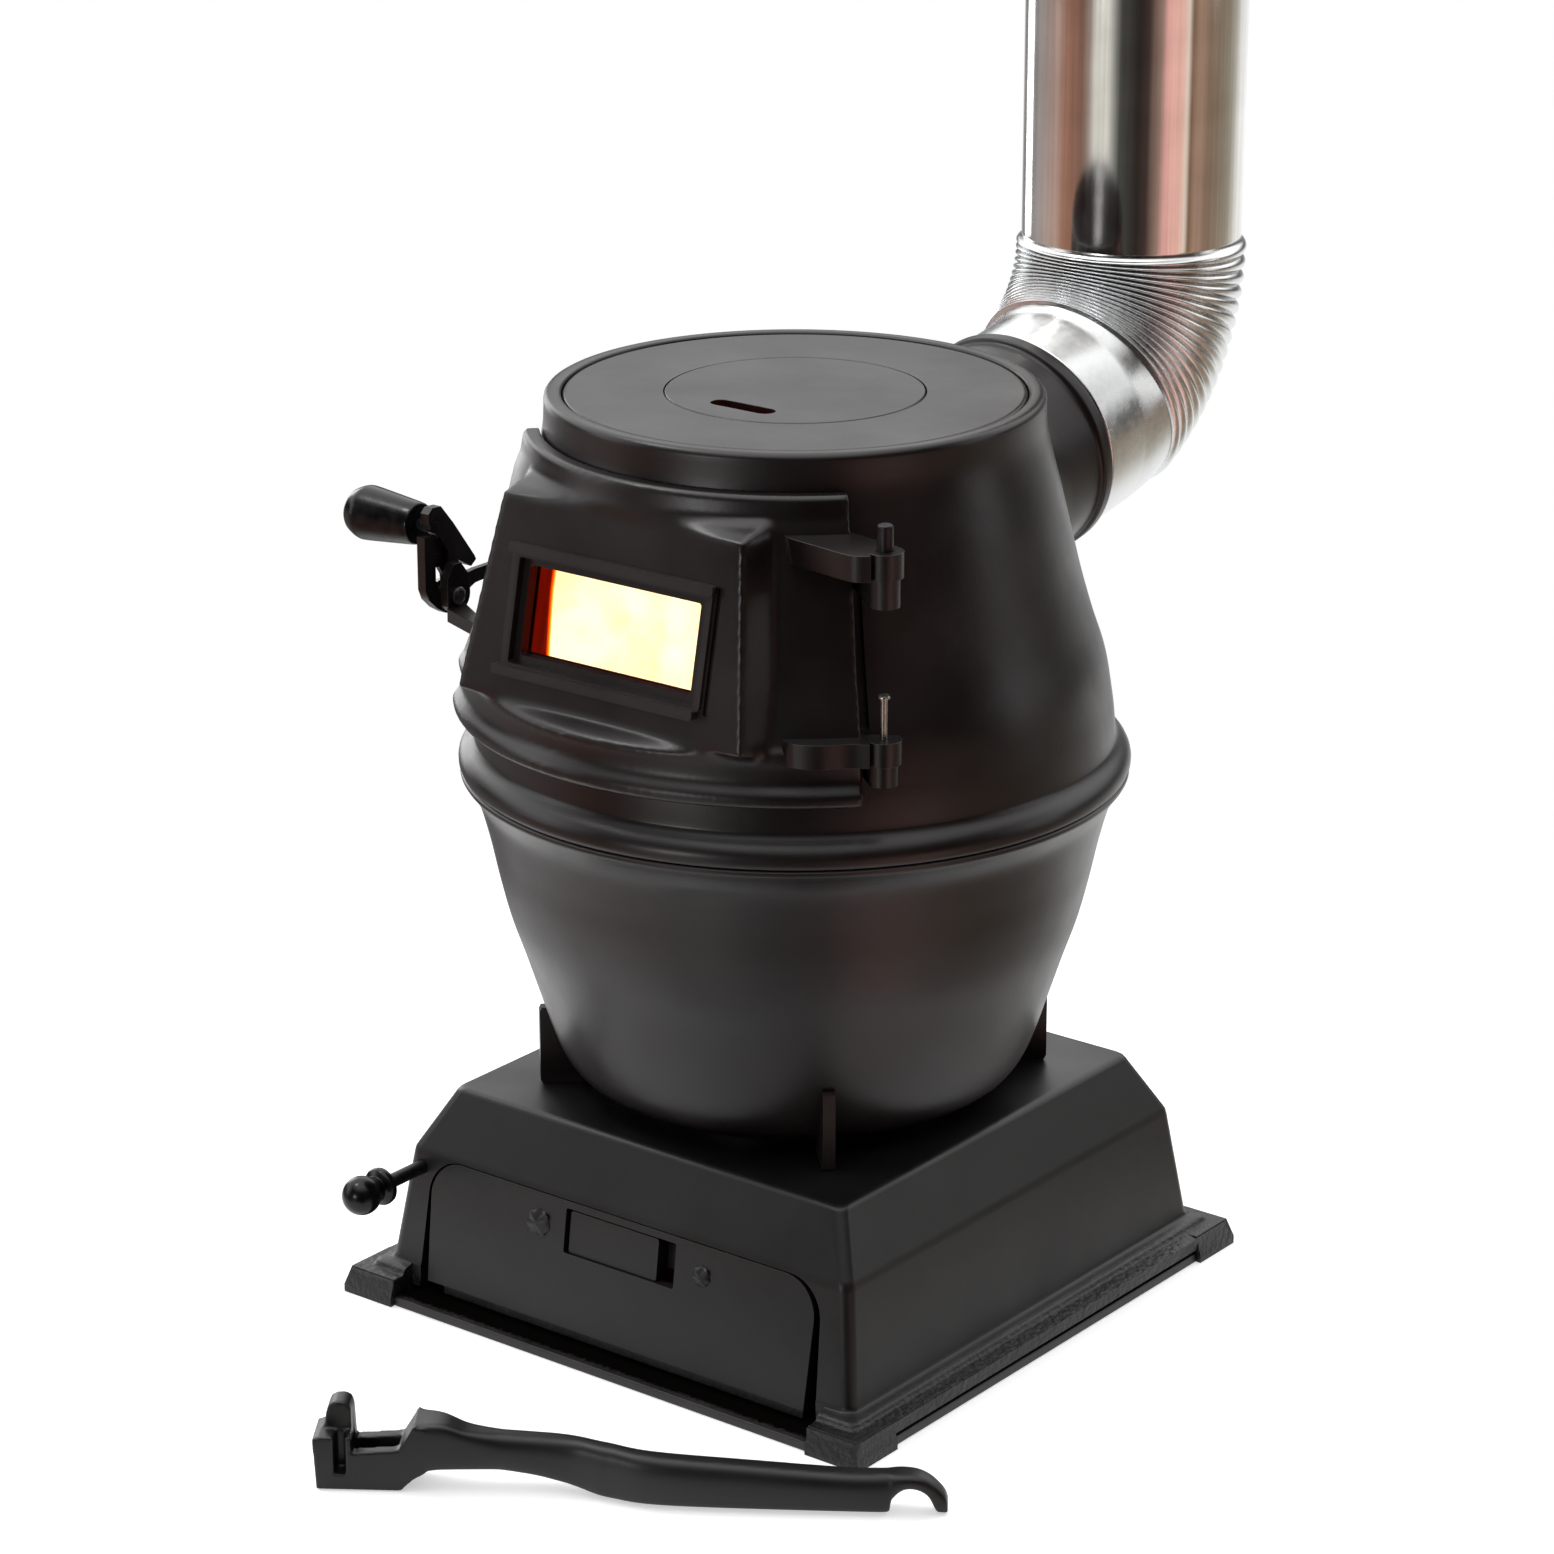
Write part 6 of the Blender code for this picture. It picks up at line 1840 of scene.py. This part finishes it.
        # a bright backdrop stands behind the stove, on the side away from the camera
        turned_away = math.radians(self.facing)
        toward = (math.sin(turned_away), -math.cos(turned_away), 0.0)
        facing = add(tree, "VectorMath", [way, toward], operation="DOT_PRODUCT").outputs["Value"]
        behind = add(tree, "MapRange", [facing, 0.08, -0.35, 0.0, 1.7], **soft)
        risen = add(tree, "MapRange", [up, 0.12, 0.36], **soft)
        backdrop = add(tree, "Math", [behind, risen], operation="MULTIPLY")
        dome = add(tree, "Math", [backdrop, ceiling], operation="MAXIMUM")
        ring = add(tree, "Background", {"Color": walls, "Strength": low})
        above = add(tree, "Background", {"Color": linear(WHITE), "Strength": dome})
        room = add(tree, "AddShader", [ring, above])
        white = add(tree, "Background", {"Color": linear(WHITE), "Strength": 1.0})
        path = add(tree, "LightPath").outputs
        seen = add(tree, "Math", [path["Is Camera Ray"], path["Is Transmission Ray"]], operation="MAXIMUM")
        add(tree, "OutputWorld", [add(tree, "MixShader", [seen, room, white])])

    def floor(self) -> None:
        """Lay the pale floor, which keeps the shadow and fades to white away from the stove."""
        mesh = bpy.data.meshes.new("studio_floor")
        mesh.from_pydata([(9 * x, 9 * y, -0.0002) for x, y in CORNERS], [], [(0, 1, 2, 3)])
        made = bpy.data.objects.new("studio_floor", mesh)
        bpy.context.scene.collection.objects.link(made)
        paint, tree, where = blank("pale_floor")
        soft = {"interpolation_type": "SMOOTHSTEP"}
        path = add(tree, "LightPath").outputs
        grain = add(tree, "TexNoise", {"Vector": where, "Scale": MM / 3.0, "Detail": 3.0})
        tone = add(tree, "ValToRGB", [grain], ((0.3, "dddddd"), (0.7, "e3e3e3")))
        matt = add(tree, "BsdfDiffuse", {"Color": tone})
        clear = add(tree, "BsdfTransparent")
        lift, white, faint = (
            add(tree, "Emission", {"Color": linear(WHITE), "Strength": glow}) for glow in (0.52, 1.0, 0.36)
        )
        reach = add(tree, "VectorMath", [where], operation="LENGTH").outputs["Value"]
        away = add(tree, "MapRange", [reach, 0.35, 0.85], **soft)
        # the camera sees paper that turns white away from the stove; what shines sees it only close by
        shown = add(tree, "MixShader", [away, add(tree, "AddShader", [matt, lift]), white])
        aside = add(tree, "VectorMath", [where, (-0.09, 0.0, 0.0)], operation="SUBTRACT")
        beside = add(tree, "VectorMath", [aside], operation="LENGTH").outputs["Value"]
        edge = add(tree, "MapRange", [beside, 0.29, 0.48], **soft)
        gloss = add(tree, "MixShader", [edge, add(tree, "AddShader", [matt, faint]), clear])
        seen = add(tree, "MixShader", [path["Is Camera Ray"], matt, shown])
        add(tree, "OutputMaterial", [add(tree, "MixShader", [path["Is Glossy Ray"], seen, gloss])])
        mesh.materials.append(paint)

    def build(self) -> None:
        """Set up the studio."""
        self.camera()
        self.surround()
        self.floor()
        self.light()
        bpy.context.scene.view_settings.view_transform = "Standard"


def main() -> None:
    """Build the studio and every piece of the stove."""
    logging.basicConfig(level=logging.INFO, format="%(name)s: %(message)s")
    Studio().build()
    finish = Finishes.make()
    for part in (Base, Pot, UpperBody, Hob, Flue, Door, HingePins, Latch, Drawer, Shaker, Lifter, Fire):
        part().build(finish)
    bpy.context.view_layer.update()


if __name__ == "__main__":
    main()
